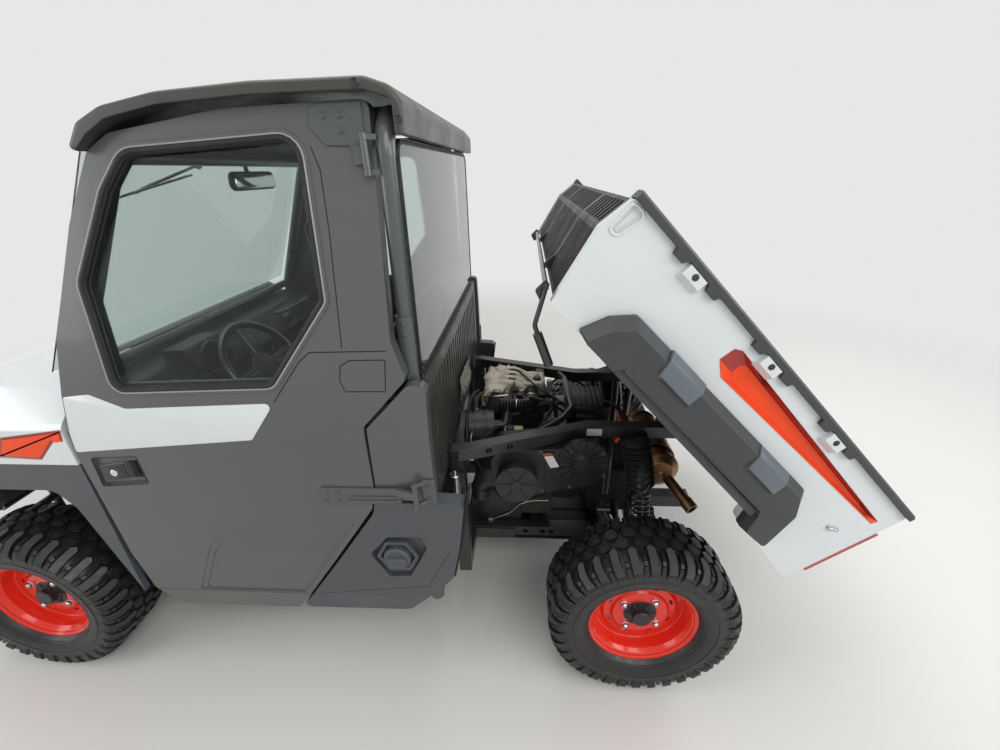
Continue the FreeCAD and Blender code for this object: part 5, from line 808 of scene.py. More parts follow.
def dress_bed():
    """Insert, bolts, flare trim, rims, ribs and latch on each side of the tipped bed."""
    floor_y = BED_SKIN_Y - RECESS_DEPTH
    for side_name, side in SIDES:
        put = placer("bed", side_name, side, RAISE)
        insert = recess_wall(3, 3)
        add_prism(insert, BED_RECESS_FLOOR, in_side, floor_y + 0.2, floor_y + 1.6)
        put("bed_insert", "orange_gloss", "bed_white", insert)
        # The recess walls that face down on the tipped bed get the darker red copy: painted shade
        put("bed_insert_edge", "red_bevel", "bed_white", recess_wall(0, 3))
        put("bed_bolts", "black_gloss", "steel", shapes(bolts=[
            ((x, BED_SKIN_Y + 17.4, 1176), OUT, 6, 1.6, 4) for x in RAIL_BLOCKS]))
        put("flare_lip", "flare_grey", "grey_plastic", shapes(prisms=[
            (FLARE_UNDER, in_side, FLARE_Y - 30, FLARE_Y - 7, 2),
            (FLARE_EDGE, in_side, FLARE_Y - 8, FLARE_Y + 2.5, 1.8)]))

        wedges = bmesh.new()
        for front, rear in FLARE_WEDGES:
            rows = []
            for along, lean in ((front, 0.2), (rear, -0.07)):
                rows.append([in_side(along + lean * (z - 960), z, y) for y, z in WEDGE_SECTION])
            add_wedge(wedges, rows)
        # The wedges get a lighter blue-grey copy of the flare plastic, which paints window light on them
        put("flare_wedges", "wedge_grey", "grey_plastic", wedges)

        rim = bmesh.new()
        for reach, lift, radius in ((2, 0.4, 3.4), (-9, -4.4, 2)):
            path = [Vector((p.x, BED_SKIN_Y + lift, p.y)) for p in grown(CORNER_RECESS, reach)]
            add_sweep(rim, path, circle(radius, 8), closed=True, normal=OUT)
        put("corner_rim", "white_gloss", "bed_white", rim)
        put("tie_loop", "steel", "steel", shapes(tubes=[
            ([(x, BED_SKIN_Y + lift, z) for x, lift, z in TIE_LOOP], 4.5, 6, 10)]))
        put("liner_ribs", "bed_black", "bed_paint", shapes(blocks=[
            ((x - 14, 668, 930), (x + 14, 675, 1165), 2.5) for x in LINER_RIBS]))
        latch = shapes(blocks=[((-1618, 470, 1118), (-1611, 560, 1160), 2)], tubes=[(GATE_HANDLE, 5, 8, 10)])
        put("gate_latch", "black_tube", "steel", latch, "tailgate")


# Engine bay, with hoses as their points and radius

HOSES = [
    ([(-470, 60, 800), (-520, 110, 822), (-600, 60, 826), (-690, -40, 800), (-700, -80, 700)], 8),
    ([(-488, 150, 770), (-470, 150, 790), (-440, 210, 806), (-380, 260, 780), (-330, 300, 700)], 5.5),
    ([(-640, -120, 792), (-700, -60, 838), (-780, 40, 820), (-900, 120, 700), (-960, 100, 560)], 7),
    ([(-400, -340, 800), (-330, -360, 820), (-300, -340, 700)], 9),
    ([(-690, -250, 760), (-740, -300, 820), (-860, -230, 826), (-980, -180, 700)], 6),
]
BAY_HOSES = [
    ([(-770, -20, 800), (-730, 20, 848), (-660, 110, 800), (-620, 150, 700)], 9),
    ([(-800, 90, 800), (-760, 160, 850), (-640, 190, 830), (-560, 230, 700)], 7),
    ([(-930, -60, 800), (-980, 0, 830), (-1040, 80, 790), (-1080, 120, 640)], 9),
    ([(-560, 226, 600), (-640, 232, 560), (-760, 226, 540), (-860, 216, 600)], 8),
    ([(-420, 240, 540), (-470, 244, 470), (-600, 236, 450), (-700, 220, 480), (-760, 210, 560)], 7),
    ([(-330, 60, 700), (-350, 180, 640), (-390, 240, 600), (-440, 250, 520)], 11),
    ([(-350, -100, 840), (-330, 0, 868), (-320, 150, 840), (-330, 240, 760)], 9),
]
LOOMS = [
    ([(-345, 396, 846), (-420, 362, 850), (-600, 300, 852), (-800, 232, 848), (-1000, 222, 846)], 8),
    ([(-560, -20, 792), (-590, 20, 872), (-680, 60, 868), (-760, 40, 800)], 6),
    ([(-640, 150, 694), (-650, 160, 760), (-720, 190, 790), (-860, 180, 700)], 6),
]
SPARK_LEADS = (-250, -200, -155)
BRAKE_LINE = [(-300, 213, 280), (-411, 213, 306), (-507, 213, 352), (-555, 213, 408), (-620, 213, 430),
              (-690, 213, 430)]
LOBE_BOLTS = [(-396, -318), (-488, -318), (-396, -80), (-488, -80), (-560, -258), (-662, -258), (-662, -146),
              (-560, -146)]
COVER_SCREWS = [(-470, 780), (-470, 612), (-640, 804), (-760, 806), (-885, 800), (-894, 690), (-760, 634),
                (-650, 610)]
# Worm drive bands, as centre, axis and radius
CLAMPS = [((-440, -42, 838), OUT, 29), ((-606, -22, 838), OUT, 29), ((-540, 45, 838), AHEAD, 29),
          ((-470, 325, 645), AHEAD, 39)]
# Fins on two castings, as x from and to and y from and to
FIN_FIELDS = ((-500, -384, -300, -96), (-664, -558, -258, -146))
BOSS = [(0, 12), (8, 12), (10, 10)]
THROTTLE_RING = [(-10, 38), (0, 38), (2, 36), (14, 36), (16, 33)]
LEAD_BOOT = [(0, 15), (18, 15), (20, 12), (34, 12), (36, 9)]
OIL_CAP = [(0, 21), (4, 21), (6, 18), (12, 18), (14, 15)]
TANK_CAP = [(0, 19), (14, 19), (16, 17)]
COVER_LABEL = [(-648, 800, 2), (-682, 806, 2), (-714, 742, 2), (-680, 734, 2)]
LABEL_HEAD = [(-648, 800, 2), (-682, 806, 2), (-688, 795), (-654, 789)]


def add_clamp(mesh, at, way, radius):
    """A worm drive band with its screw housing."""
    at, way = Vector(at), Vector(way).normalized()
    band = [(-5, radius - 1), (-5, radius + 1.2), (5, radius + 1.2), (5, radius - 1)]
    add_lathe(mesh, band, at, way, 28)
    first, _ = axis_frame(way)
    spot = at + first * (radius + 4)
    across = way.cross(first)
    add_rod(mesh, spot - across * 9, spot + across * 11, 4, 8)


def hose_mesh(runs, bend):
    """Tubes from rows of points and radius, with one bend for all."""
    return shapes(tubes=[(points, radius, bend, 12) for points, radius in runs])


def loom_mesh():
    """Wires in a wrap, with a band at every third step of their path."""
    mesh = bmesh.new()
    for points, radius in LOOMS:
        path = smooth_path(points, 40, 10)
        add_sweep(mesh, path, circle(radius, 10))
        band = [(-2, radius), (-1, radius + 1.4), (1, radius + 1.4), (2, radius)]
        for a, b in zip(path[2:-2:3], path[3:-1:3]):
            if (b - a).length > 0.1:
                add_lathe(mesh, band, a, b - a, 12)
    return mesh


def dress_engine():
    """Hoses, looms, castings, fittings, labels and screws of the engine bay."""
    put = placer("chassis")
    put("hoses", "soft_rubber", "flap_rubber", hose_mesh(HOSES, 40))
    put("looms", "black_plastic", "black_plastic", loom_mesh())

    cast = shapes(
        blocks=[((-640, -118, 796), (-572, -98, 880), 4)],
        rods=[((-690, -60, 742), (-690, -20, 742), 26, 24, 3)],
        lathes=[(BOSS, (x, y, 858), UP, 16) for x, y in LOBE_BOLTS]
        + [(THROTTLE_RING, (-606, -116, 838), OUT, 32)])
    for x0, x1, y0, y1 in FIN_FIELDS:
        for k in range(4):
            y = y0 + (y1 - y0) * (k + 0.5) / 4
            add_block(cast, (x0 + 14, y - 3, 866), (x1 - 14, y + 3, 873), 2)
    put("castings", "cast_alloy", "engine_alloy", cast)

    metal = shapes(
        bolts=[((x, y, 868), UP, 4.6, 1.6, 4) for x, y in LOBE_BOLTS],
        tubes=[(BRAKE_LINE, 3.2, 14, 8)],
        blocks=[((-424, 206, 296), (-396, 219, 318), 2), ((-600, 206, 420), (-576, 219, 440), 2)],
        rods=[((-316, 494, 706), (-316, 494, 792), 21, 24, 3),
              ((-316, 494, 792), (-316, 494, 808), 9, 12, 1.5)])
    for clamp in CLAMPS:
        add_clamp(metal, *clamp)
    put("fittings", "steel", "steel", metal)

    leads = [([(-530, y, 824), (-530, y, 846), (-526, y + 30, 880), (-520, -40, 872), (-520, -10, 800)],
              4.2, 18, 8) for y in SPARK_LEADS]
    boots = [(LEAD_BOOT, (-530, y, 790), UP, 16) for y in SPARK_LEADS]
    put("engine_trim", "black_plastic", "black_plastic", shapes(
        tubes=leads,
        lathes=boots + [(OIL_CAP, (-636, -170, 869), UP, 24), (TANK_CAP, (-512, 172, 786), UP, 20)],
        blocks=[((-349, 466, 716), (-300, 478, 780), 2), ((-330, 478, 730), (-314, 492, 742), 1),
                ((-330, 478, 764), (-314, 492, 776), 1)]))

    put("blank_labels", "clay_label", "pale_plastic", shapes(
        prisms=[(COVER_LABEL, in_side, 371.6, 373.2)],
        blocks=[((-888, 286.6, 834), (-802, 288.2, 866), 0.4)]))
    put("tank_top", "pale_tank", "pale_plastic", shapes(
        blocks=[((-570, 130, 752), (-486, 208, 784), 7, 3)],
        rods=[((-512, 172, 780), (-512, 172, 794), 13, 20, 1.5)]))
    put("label_head", "label_red", "tail_lens", shapes(prisms=[(LABEL_HEAD, in_side, 373, 373.9)]))
    put("cover_screws", "cage_grey", "black_tube", shapes(
        bolts=[((x, 363.6, z), OUT, 5, 1.6, 4) for x, z in COVER_SCREWS]))
    dress_intake(put)
    dress_bay(put)


# Lobes of the intake castings, as x, y and radius, and the profile's (height, share of the radius)
LOBES = ((-418, -205, 52), (-452, -292, 38), (-612, -214, 40))
LOBE_PROFILE = [(-12, 1), (-4, 1), (4, 0.90), (10, 0.68), (13, 0.34)]
STUDS = ((-540, -330), (-560, -100), (-700, -200), (-380, -60))
INTAKE_RUNNERS = (-290, -236, -182, -128)
INJECTORS = (-262, -208, -154)
FUEL_RAIL_LEAD = [(-505, -262, 880), (-545, -240, 884), (-600, -120, 884), (-650, -60, 868), (-740, -30, 820)]
SENSOR_LEAD = [(-380, -60, 850), (-360, 10, 872), (-352, 120, 830), (-360, 180, 760)]
FUEL_RAIL = [(-488, -330, 850), (-488, -330, 878), (-488, -70, 878), (-470, -60, 840)]
BREATHER = [(-392, -40, 800), (-380, -20, 846), (-430, 30, 874), (-500, 20, 878)]


def dress_intake(put):
    """Runners, bellows, injectors and small castings round the intake."""
    runners = [([(-430, y, 846), (-470, y, 868), (-530, y + 6, 866), (-580, y + 20, 846)], 19, 30, 14)
               for y in INTAKE_RUNNERS]
    lobes = [([(along, radius * share) for along, share in LOBE_PROFILE], (x, y, 870), UP, 28)
             for x, y, radius in LOBES]
    studs = [((x, y, 780), (x, y, 850), 15, 16, 3) for x, y in STUDS]
    put("intake_castings", "cast_alloy", "engine_alloy", shapes(tubes=runners, lathes=lobes, rods=studs))

    folds = [([(-4, 27), (0, 35), (4, 27)], (-440, -16 + 11 * k, 838), OUT, 28) for k in range(9)]
    folds += [([(-5, 27), (0, 37), (5, 27)], (-466 - 13 * k, 62, 838), AHEAD, 28) for k in range(10)]
    put("bellows", "soft_rubber", "flap_rubber", shapes(lathes=folds))

    put("injector_plugs", "black_plastic", "black_plastic", shapes(
        rods=[((-505, y, 856), (-500, y, 883), 8, 12, 1.5) for y in INJECTORS],
        blocks=[((-526, y - 8, 868), (-506, y + 8, 882), 3) for y in INJECTORS]
        + [((-676, -300, 830), (-632, -262, 872), 5), ((-575, -70, 800), (-535, -36, 850), 5)],
        tubes=[(FUEL_RAIL_LEAD, 5, 26, 8), (SENSOR_LEAD, 7, 30, 10)]))
    put("small_pipes", "steel", "steel", shapes(
        tubes=[(FUEL_RAIL, 5, 14, 10), (BREATHER, 4, 16, 8)],
        bolts=[((x, y, 881), UP, 5, 0.8, 2) for x, y, radius in LOBES],
        blocks=[((-352, 206, 700), (-346, 260, 800), 1.5)]))


# Tray, control box, its plug and the skid plate, as low corner, high corner, bevel and its steps
BAY_BLOCKS = [
    ((-965, -232, 742), (-735, 232, 748), 1.5), ((-940, -150, 748), (-770, 60, 842), 10, 3),
    ((-900, 60, 760), (-800, 96, 812), 5), ((-1000, -262, 244), (-318, 262, 249), 1),
]
BOX_RIBS = [((-932 + 24 * k, -142, 840), (-920 + 24 * k, 52, 850), 3) for k in range(7)]
SKID_RIBS = [((-990, y - 8, 248), (-330, y + 8, 256), 2) for y in (-180, -60, 60, 180)]
CASE_PLATE = [(-560, 620, 10), (-900, 620, 30), (-930, 500, 30), (-800, 400, 20), (-560, 400, 20)]
FRONT_PLATE = [(-330, 520, 10), (-470, 560, 20), (-560, 470, 20), (-560, 310, 20), (-330, 310, 10)]
SHOCK_TOP = (-1012, 330, 850)
SHOCK_LOW = (-1050, 352, 640)
BOOT_FOLD = [(-11, 38), (-7, 46), (0, 57), (7, 46), (11, 38)]
BOOT_FOLDS = 9
# Heat foil: cells across and down, thickness, upper left corner, width and how far it falls across
# that width, length downwards, depth of the crumples and of the torn edge
FOIL_COLUMNS, FOIL_ROWS = 26, 12
FOIL_THICK = 2
FOIL_CORNER = (-292, 112, 1006)
FOIL_WIDTH, FOIL_FALL = 330, 34
FOIL_LENGTH = 112
FOIL_CRUMPLE = 3.4
FOIL_TORN = 9


def foil_mesh():
    """A crumpled sheet of heat foil on the cab's rear wall, with a torn lower edge."""
    mesh = bmesh.new()
    columns, rows = FOIL_COLUMNS, FOIL_ROWS
    x0, y0, z0 = FOIL_CORNER
    layers = []
    for lift in (0, FOIL_THICK):
        grid = []
        for i in range(columns + 1):
            line = []
            for k in range(rows + 1):
                across, drop = i / columns, k / rows
                ripple = math.sin(9 * across + 5 * drop) + 0.7 * math.sin(23 * across - 11 * drop)
                edge = FOIL_TORN * math.sin(31 * across) if k == rows else 0
                x = x0 - FOIL_CRUMPLE * (1 + 0.5 * ripple) - lift
                z = z0 - FOIL_FALL * across - (FOIL_LENGTH + edge) * drop
                line.append(mesh.verts.new((x, y0 - FOIL_WIDTH * across, z)))
            grid.append(line)
        layers.append(grid)
        for i in range(columns):
            for k in range(rows):
                mesh.faces.new((grid[i][k], grid[i + 1][k], grid[i + 1][k + 1], grid[i][k + 1]))
    rim = ([(i, 0) for i in range(columns)] + [(columns, k) for k in range(rows)]
           + [(i, rows) for i in range(columns, 0, -1)] + [(0, k) for k in range(rows, 0, -1)])
    for (i, k), (m, n) in zip(rim, rim[1:] + rim[:1]):
        mesh.faces.new((layers[0][i][k], layers[0][m][n], layers[1][m][n], layers[1][i][k]))
    bmesh.ops.recalc_face_normals(mesh, faces=mesh.faces)
    return mesh


def dress_bay(put):
    """What fills the bay round the engine: tray, control box, plates, heat foil and shock boots."""
    put("bay_plates", "black_plastic", "black_plastic", shapes(
        blocks=BAY_BLOCKS + BOX_RIBS + SKID_RIBS,
        prisms=[(CASE_PLATE, in_side, 150, 157, 2), (FRONT_PLATE, in_side, 201, 207, 2)]))
    put("bay_hoses", "soft_rubber", "flap_rubber", hose_mesh(BAY_HOSES, 60))
    put("heat_foil", "foil", "steel", foil_mesh())

    boots = bmesh.new()
    for side in (1, -1):
        mirror = Matrix.Diagonal((1, side, 1))
        top, low = mirror @ Vector(SHOCK_TOP), mirror @ Vector(SHOCK_LOW)
        for k in range(BOOT_FOLDS):
            add_lathe(boots, BOOT_FOLD, top.lerp(low, (k + 0.5) / BOOT_FOLDS), low - top, 36)
    put("shock_boots", "soft_rubber", "flap_rubber", boots)


# Body trim

FENDER_INSERT = [(1059, 1095, 4), (844, 1125, 4), (853, 1088, 4), (889, 1083, 8), (958, 1016, 8),
                 (1101, 1023, 4)]
# Plugs of the roof's ends, as x, z and radius
ROOF_PLUGS = ((-197, 2003, 11), (-288, 1930, 10))
DOOR_GAP = [(-99, 1140), (-99, 935), (-84, 842), (-80, 815)]
# Bolts of the hinge brackets, as x, y, z and radius
BRACKET_BOLTS = ((-242, 668.6, 1436, 5), (-242, 668.6, 1408, 5), (-282, 747, 940, 5.5),
                 (-282, 747, 892, 5.5))
FUEL_CAP = (-146, 629)
FUEL_CAP_FACE = [(0, 46), (3, 46), (8, 41), (8, 34), (6, 32)]
REAR_GLASS_X = -266.8
REAR_GLASS = [(-636, 1264), (636, 1264), (636, 1888), (-636, 1888)]


def dress_body():
    """Inserts, plugs, seals and bolts of the body, and the fuel cap's grip."""
    for side_name, side in SIDES:
        put = placer("chassis", side_name, side)
        edge = shapes(prisms=[(FENDER_INSERT, in_side, 741, 743.2, 0.8)])
        # The insert's bevel border in the darker red copy of its orange: painted shade
        put("fender_edge", "red_bevel", "white_body", edge)
        inner = [(p.x, p.y) for p in grown(FENDER_INSERT, -7)]
        insert = shapes(prisms=[(inner, in_side, 742.8, 744.6, 0.8)])
        put("fender_insert", "orange_gloss", "white_body", insert)
        put("roof_plugs", "black_gloss", "black_plastic", shapes(lathes=[
            ([(-2, r), (1, r), (2, r - 1.5), (2, r - 4), (0.6, r - 5)], (x, 668, z), OUT, 24)
            for x, z, r in ROOF_PLUGS]))
        gap = [(x - 4, skin_y(z) - 16, z) for x, z in DOOR_GAP]
        put("gap_seal", "soft_rubber", "flap_rubber", shapes(tubes=[(gap, 3.2, 20, 8)]))
        put("bracket_bolts", "cage_grey", "black_tube", shapes(bolts=[
            ((x, y, z), OUT, radius) for x, y, z, radius in BRACKET_BOLTS]))

    x, z = FUEL_CAP
    y = skin_y(z) + 3
    cap = shapes(blocks=[((x - 34, y, z - 11), (x + 34, y + 16, z + 11), 6, 3)],
                 lathes=[(FUEL_CAP_FACE, (x, y, z), OUT, 40)])
    for spoke in round_spokes(12):
        add_rod(cap, Vector((x, y - 22, z)) + spoke * 45, Vector((x, y + 3, z)) + spoke * 44, 4.2, 8)
    put = placer("chassis")
    put("cap_grip", "grained_grey", "grey_plastic", cap)

    path = [Vector((REAR_GLASS_X, y, z)) for y, z in REAR_GLASS]
    middle = path[0].lerp(path[1], 0.5)
    ring = smooth_path([middle] + path[1:] + [path[0], middle], 50)[:-1]
    seal = bmesh.new()
    add_sweep(seal, ring, circle(7, 8), closed=True, normal=AHEAD)
    put("rear_glass_seal", "soft_rubber", "flap_rubber", seal)


# Cab inside

WINDSHIELD_LOW = (856, 1293.7)
WINDSHIELD_HIGH = (574, 1890)
# Wiper, as y, z and lift off the windshield
WIPER_ARM = [(130, 1858, 4), (135, 1850, 16), (340, 1790, 18), (395, 1776, 12)]
WIPER_EDGE = [(160, 1826, 6), (560, 1750, 6)]
WIPER_PIVOT = [(130, 1858, 0.5), (130, 1858, 14)]
MIRROR_CASE = [(-150, 1770, 26), (150, 1770, 26), (140, 1836, 26), (-140, 1836, 26)]
MIRROR_GLASS = [(-140, 1778, 20), (140, 1778, 20), (131, 1828, 20), (-131, 1828, 20)]
MIRROR_STALK = [(486, 0, 1810), (500, 0, 1840), (500, 0, 1856)]
VENTS = (-420, -250, 110, 520)
GRAB_HANDLE = [(640, -470, 1210), (604, -460, 1216), (604, -200, 1216), (640, -190, 1210)]
SHIFT_LEVER = [(560, 70, 1010), (520, 70, 1110), (500, 70, 1150)]
SHIFT_KNOB = [(0, 10), (6, 19), (26, 22), (40, 16), (44, 8)]
# Pedals, as y and half width
PEDALS = ((250, 34), (395, 44))
GAUGE = [(0, 62), (8, 62), (10, 58), (6, 55), (4, 50)]
STEERING_CENTRE = Vector((400, 330, 1165))
STEERING_RAKE = math.radians(32)
STEERING_HUB = [(-8, 50), (2, 58), (10, 56), (16, 44), (19, 26), (20, 6)]
SPOKE_SECTION = [(-19, -3), (-16, -6), (16, -6), (19, -3), (16, 6), (-16, 6)]
# Run of a spoke, as distance from the centre and behind the rim's plane
SPOKE_RUN = ((30, 10), (80, 9), (130, 4), (172, 0))


def on_windshield(y, z, lift):
    """A point on the windshield at a height, moved off it by a lift."""
    (x0, z0), (x1, z1) = WINDSHIELD_LOW, WINDSHIELD_HIGH
    run = (x0 - x1) / (z1 - z0)
    slope = math.hypot(1, run)
    return Vector((x0 - (z - z0) * run + lift / slope, y, z + lift * run / slope))


def dress_cab():
    """Wiper, mirror, dash trim, pedals, gauge and the spokes of the steering wheel."""
    put = placer("chassis")
    wiper = shapes(tubes=[([on_windshield(*p) for p in WIPER_ARM], 5, 12, 10),
                          ([on_windshield(*p) for p in WIPER_EDGE], 3.6, 4, 8)],
                   rods=[[on_windshield(*p) for p in WIPER_PIVOT] + [15, 24, 3]])
    for k in range(5):
        start = on_windshield(180 + 74 * k, 1822 - 14 * k, 9)
        add_rod(wiper, start, start + Vector((0, 46, -9)), 3.4, 8)
    put("wiper", "black_gloss", "black_plastic", wiper)
    put("mirror", "black_plastic", "black_plastic", shapes(
        prisms=[(MIRROR_CASE, in_front, 470, 492, 7, 3)], tubes=[(MIRROR_STALK, 8, 10, 12)]))
    put("mirror_glass", "chrome", "chrome_rod", shapes(prisms=[(MIRROR_GLASS, in_front, 468.6, 470.4, 0.4)]))

    vents = [((606, y - 42, 1148 + 11 * k), (626, y + 42, 1152 + 11 * k), 1.2)
             for y in VENTS for k in range(5)]
    switches = [((612, 34 * k - 72, 1070), (624, 34 * k - 48, 1104), 3) for k in range(5)]
    pedals = [((690, y - half, 420), (706, y + half, 510), 5) for y, half in PEDALS]
    arms = [([(780, y, 560), (740, y, 500), (722, y, 450)], 8, 20, 10) for y, half in PEDALS]
    put("dash_trim", "black_gloss", "black_plastic", shapes(
        blocks=vents + switches + pedals + [((556, 40, 960), (640, 100, 1030), 12, 3)],
        tubes=arms + [(GRAB_HANDLE, 11, 24, 12), (SHIFT_LEVER, 7, 30, 10)],
        lathes=[(SHIFT_KNOB, (502, 70, 1144), (-0.3, 0, 1), 20)]))
    put("gauge", "black_gloss", "black_plastic", shapes(lathes=[(GAUGE, (612, 330, 1200), (-1, 0, 0.1), 48)]))

    way = Vector((-math.cos(STEERING_RAKE), 0, math.sin(STEERING_RAKE)))
    hub = shapes(lathes=[(STEERING_HUB, STEERING_CENTRE - way * 14, way, 40)])
    up = way.cross(Vector(OUT))
    for out in (Vector(OUT), -Vector(OUT), -up):
        path = [STEERING_CENTRE + out * along - way * behind for along, behind in SPOKE_RUN]
        add_sweep(hub, path, SPOKE_SECTION, normal=tuple(way))
    put("wheel_spokes", "black_plastic", "black_plastic", hub, "steering_wheel")


# Seats, as crowned pads swollen by a cloth simulation. Their boxes are in millimetres, the rest in metres

PAD_SPANS = (("driver", 24, 560), ("bench", -560, 4))
PAD_ROUND = 0.026
PAD_VOXEL = 0.008
PAD_CAP = 0.014
PAD_STEPS = 20
PAD_PRESSURE = 4
# Sewn channels: depths, half width, how far behind the face they fade out, and where they lie
CHANNEL_DEPTH = 0.006
BENCH_SEAM_DEPTH = 0.007
CHANNEL_REACH = 0.007
CHANNEL_FADE = 0.05
CUSHION_CHANNELS = (0.03, 0.12, 0.21)
BACK_CHANNELS = (0.95, 1.10, 1.25)
BENCH_SEAM = (-0.278,)
BACK_LEAN = (Matrix.Translation((-0.12, 0, 0.75)) @ Matrix.Rotation(math.radians(-2.5), 4, "Y")
             @ Matrix.Translation((0.12, 0, -0.75)))


def cloth_pad(name, low, high, lean=None):
    """A closed box with round edges, swollen by pressure, with each point's move held under a cap."""
    mesh = shapes(blocks=[([v * MM for v in low], [v * MM for v in high], PAD_ROUND, 4)])
    if lean is not None:
        mesh.transform(lean)
    obj = add_object(name, mesh_data(name, mesh))
    obj.modifiers.new("remesh", "REMESH").mode = "VOXEL"
    obj.modifiers["remesh"].voxel_size = PAD_VOXEL
    apply_modifiers(obj)
    start = [vert.co.copy() for vert in obj.data.vertices]
    cloth = obj.modifiers.new("cloth", "CLOTH")
    cloth.settings.use_pressure = True
    cloth.settings.uniform_pressure_force = PAD_PRESSURE
    cloth.settings.effector_weights.gravity = 0
    cloth.settings.quality = 5
    for step in range(1, PAD_STEPS + 1):
        scene.frame_set(step)
    apply_modifiers(obj)
    scene.frame_set(1)
    for vert, old in zip(obj.data.vertices, start):
        move = vert.co - old
        if move.length > PAD_CAP:
            vert.co = old + move.normalized() * PAD_CAP
    return obj


def apply_modifiers(obj):
    """Replaces an object's mesh by what its modifiers make of it."""
    graph = bpy.context.evaluated_depsgraph_get()
    data = bpy.data.meshes.new_from_object(obj.evaluated_get(graph))
    old = obj.data
    obj.modifiers.clear()
    obj.data = data
    bpy.data.meshes.remove(old)


def sew(obj, axis, lines, depth, face_axis):
    """Presses sewn channels into one face of a pad."""
    edge = max(vert.co[face_axis] for vert in obj.data.vertices)
    for vert in obj.data.vertices:
        near = edge - vert.co[face_axis]
        if near < CHANNEL_FADE:
            fade = 1 - near / CHANNEL_FADE
            pull = sum(math.exp(-((vert.co[axis] - line) / CHANNEL_REACH) ** 2) for line in lines)
            vert.co[face_axis] -= depth * fade * min(1, pull)


def finish_pad(obj):
    """Material, smooth faces, one level of subdivision, and the chassis as the pad's body."""
    data = obj.data
    data.materials.clear()
    data.materials.append(FINISHES["vinyl"])
    data.polygons.foreach_set("use_smooth", [True] * len(data.polygons))
    modifier = obj.modifiers.new("round", "SUBSURF")
    modifier.levels = modifier.render_levels = 1
    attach(obj, "chassis")


def dress_seats():
    """Cushion and back of both pads of the bench."""
    for name, y0, y1 in PAD_SPANS:
        cushion = cloth_pad("cushion_" + name, (-70, y0, 752), (312, y1, 848))
        sew(cushion, 0, CUSHION_CHANNELS, CHANNEL_DEPTH, 2)
        if name == "bench":
            sew(cushion, 1, BENCH_SEAM, BENCH_SEAM_DEPTH, 2)
        finish_pad(cushion)
        back = cloth_pad("back_" + name, (-196, y0, 752), (-120, y1, 1400), BACK_LEAN)
        sew(back, 2, BACK_CHANNELS, CHANNEL_DEPTH, 0)
        finish_pad(back)
        if name == "driver":
            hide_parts("seat_cushion")
            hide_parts("seat_back")


# Stage, lights and camera

BACKDROP = (0.80, 0.80, 0.79, 1.0)
WORLD_COLOUR = (0.96, 0.98, 1.0, 1.0)
WORLD_STRENGTH = 0.36
# The floor starts to turn into the backdrop at the first distance and has turned at the second
FLOOR_FADE = (2.2, 6.5)
FLOOR_HALF = 30.0
WARM = (1.0, 0.98, 0.95)
COOL = (0.86, 0.94, 1.0)
FAINT_COOL = (0.95, 0.98, 1.0)
# Lamps, as place, aim, size, power and colour
LAMPS = {
    "key": ((-2.5, 4.2, 4.6), (-0.2, 0.0, 0.8), (3.6, 3.0), 128.0, WARM),
    "window": ((-5.2, 2.6, 3.0), (-1.0, 0.4, 1.0), (2.6, 2.0), 84.0, COOL),
    "overhead": ((0.4, -0.6, 5.2), (0.0, 0.0, 0.6), (4.5, 4.5), 128.0, (1.0, 1.0, 1.0)),
    "front_fill": ((4.4, 2.6, 2.4), (0.2, 0.0, 0.8), (2.6, 2.6), 62.0, FAINT_COOL),
    "rear_fill": ((-4.6, -2.4, 2.6), (-0.4, 0.0, 0.8), (3.0, 2.6), 62.0, FAINT_COOL),
}


def make_camera():
    """The camera, at the photograph's place and turn."""
    data = bpy.data.cameras.new("camera")
    data.sensor_fit = "HORIZONTAL"
    data.sensor_width = SENSOR
    data.lens = SENSOR * FOCAL_PIXELS / IMAGE_WIDTH
    data.clip_start = 0.05
    camera = add_object("camera", data)
    forward = Vector((math.sin(CAMERA_YAW) * math.cos(CAMERA_PITCH),
                      -math.cos(CAMERA_YAW) * math.cos(CAMERA_PITCH), -math.sin(CAMERA_PITCH)))
    right = forward.cross(Vector(UP)).normalized()
    up = right.cross(forward)
    tilted_right = right * math.cos(CAMERA_ROLL) + up * math.sin(CAMERA_ROLL)
    tilted_up = up * math.cos(CAMERA_ROLL) - right * math.sin(CAMERA_ROLL)
    turn = Matrix((tilted_right, tilted_up, -forward)).transposed().to_4x4()
    camera.matrix_world = Matrix.Translation(CAMERA_AT) @ turn
    scene.camera = camera


def make_light(name, at, aim, size, power, colour):
    data = bpy.data.lights.new(name, "AREA")
    data.shape = "RECTANGLE"
    data.size, data.size_y = size
    data.energy = power
    data.color = colour
    light = add_object(name, data)
    light.location = at
    light.rotation_mode = "QUATERNION"
    light.rotation_quaternion = (Vector(aim) - Vector(at)).to_track_quat("-Z", "Y")


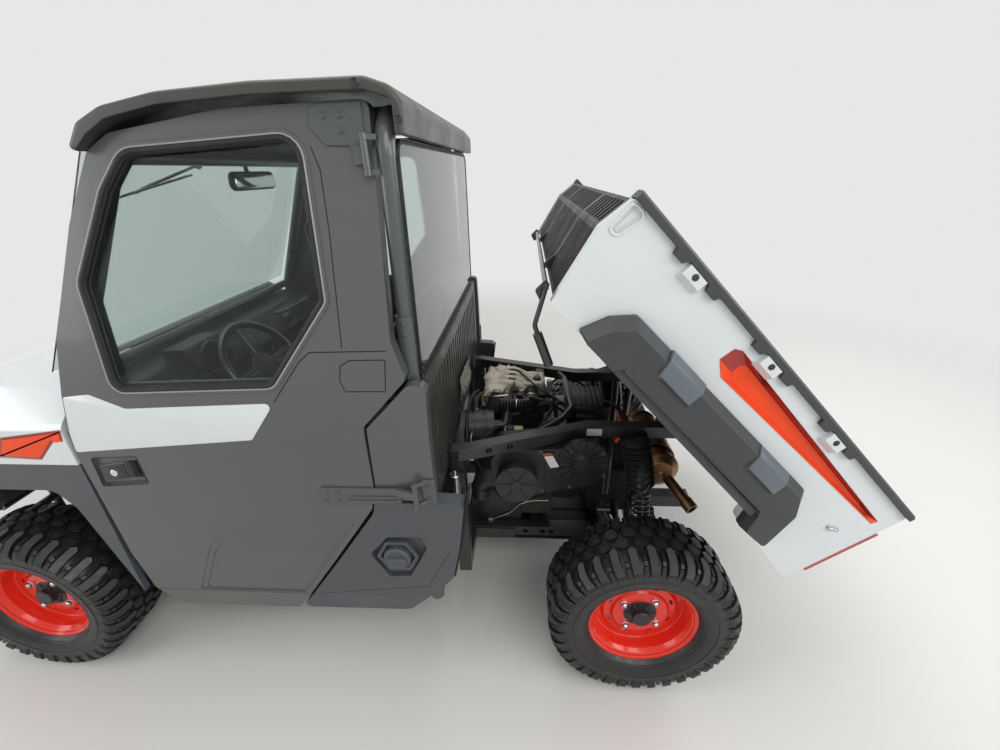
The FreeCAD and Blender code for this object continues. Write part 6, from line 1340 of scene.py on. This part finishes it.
def make_world():
    """Soft light from all round, and white where the eye or a reflection sees past the object."""
    world = bpy.data.worlds.new("studio")
    scene.world = world
    world.use_nodes = True
    tree = world.node_tree
    tree.nodes.clear()
    rays = add_node(tree, "LightPath").outputs
    shown = rays["Is Camera Ray"]
    for kind in ("Is Glossy Ray", "Is Transmission Ray"):
        shown = add_node(tree, "Math", [(0, shown), (1, rays[kind])], "MAXIMUM").outputs[0]
    lit = add_node(tree, "Background", Color=WORLD_COLOUR, Strength=WORLD_STRENGTH)
    seen = add_node(tree, "Background", Color=BACKDROP, Strength=1.0)
    mix = add_node(tree, "MixShader", [(0, shown), (1, lit.outputs[0]), (2, seen.outputs[0])])
    add_node(tree, "OutputWorld", [("Surface", mix.outputs[0])])


def fade_out(material):
    """Lets the floor turn into the backdrop away from the object."""
    tree = material.node_tree
    place = add_node(tree, "TexCoord").outputs["Object"]
    length = add_node(tree, "VectorMath", [(0, place)], "LENGTH")
    share = add_node(tree, "MapRange", [("Value", length.outputs["Value"])], From_Min=FLOOR_FADE[0],
                     From_Max=FLOOR_FADE[1])
    share.interpolation_type = "SMOOTHSTEP"
    glow = add_node(tree, "Emission", Color=BACKDROP, Strength=1.0)
    plain = tree.nodes["Principled BSDF"].outputs[0]
    mix = add_node(tree, "MixShader", [(0, share.outputs["Result"]), (1, plain), (2, glow.outputs[0])])
    tree.links.new(mix.outputs[0], tree.nodes["Material Output"].inputs["Surface"])


def make_stage():
    """The floor and the lamps."""
    mesh = bmesh.new()
    bmesh.ops.create_grid(mesh, x_segments=2, y_segments=2, size=FLOOR_HALF)
    floor = add_object("floor", mesh_data("floor", mesh))
    pale = finish("pale_floor", srgb(222, 219, 214), 0.55, tint=0.02, patch=1.5, wear=0.05, grain=0.02,
                  height=0.0002, edge=0.0)
    fade_out(pale)
    floor.data.materials.append(pale)
    for name, lamp in LAMPS.items():
        make_light(name, *lamp)


make_camera()
make_world()
make_stage()
dress_nodes()
dress_wheels()
dress_doors()
dress_bed()
dress_engine()
dress_body()
dress_cab()
dress_seats()
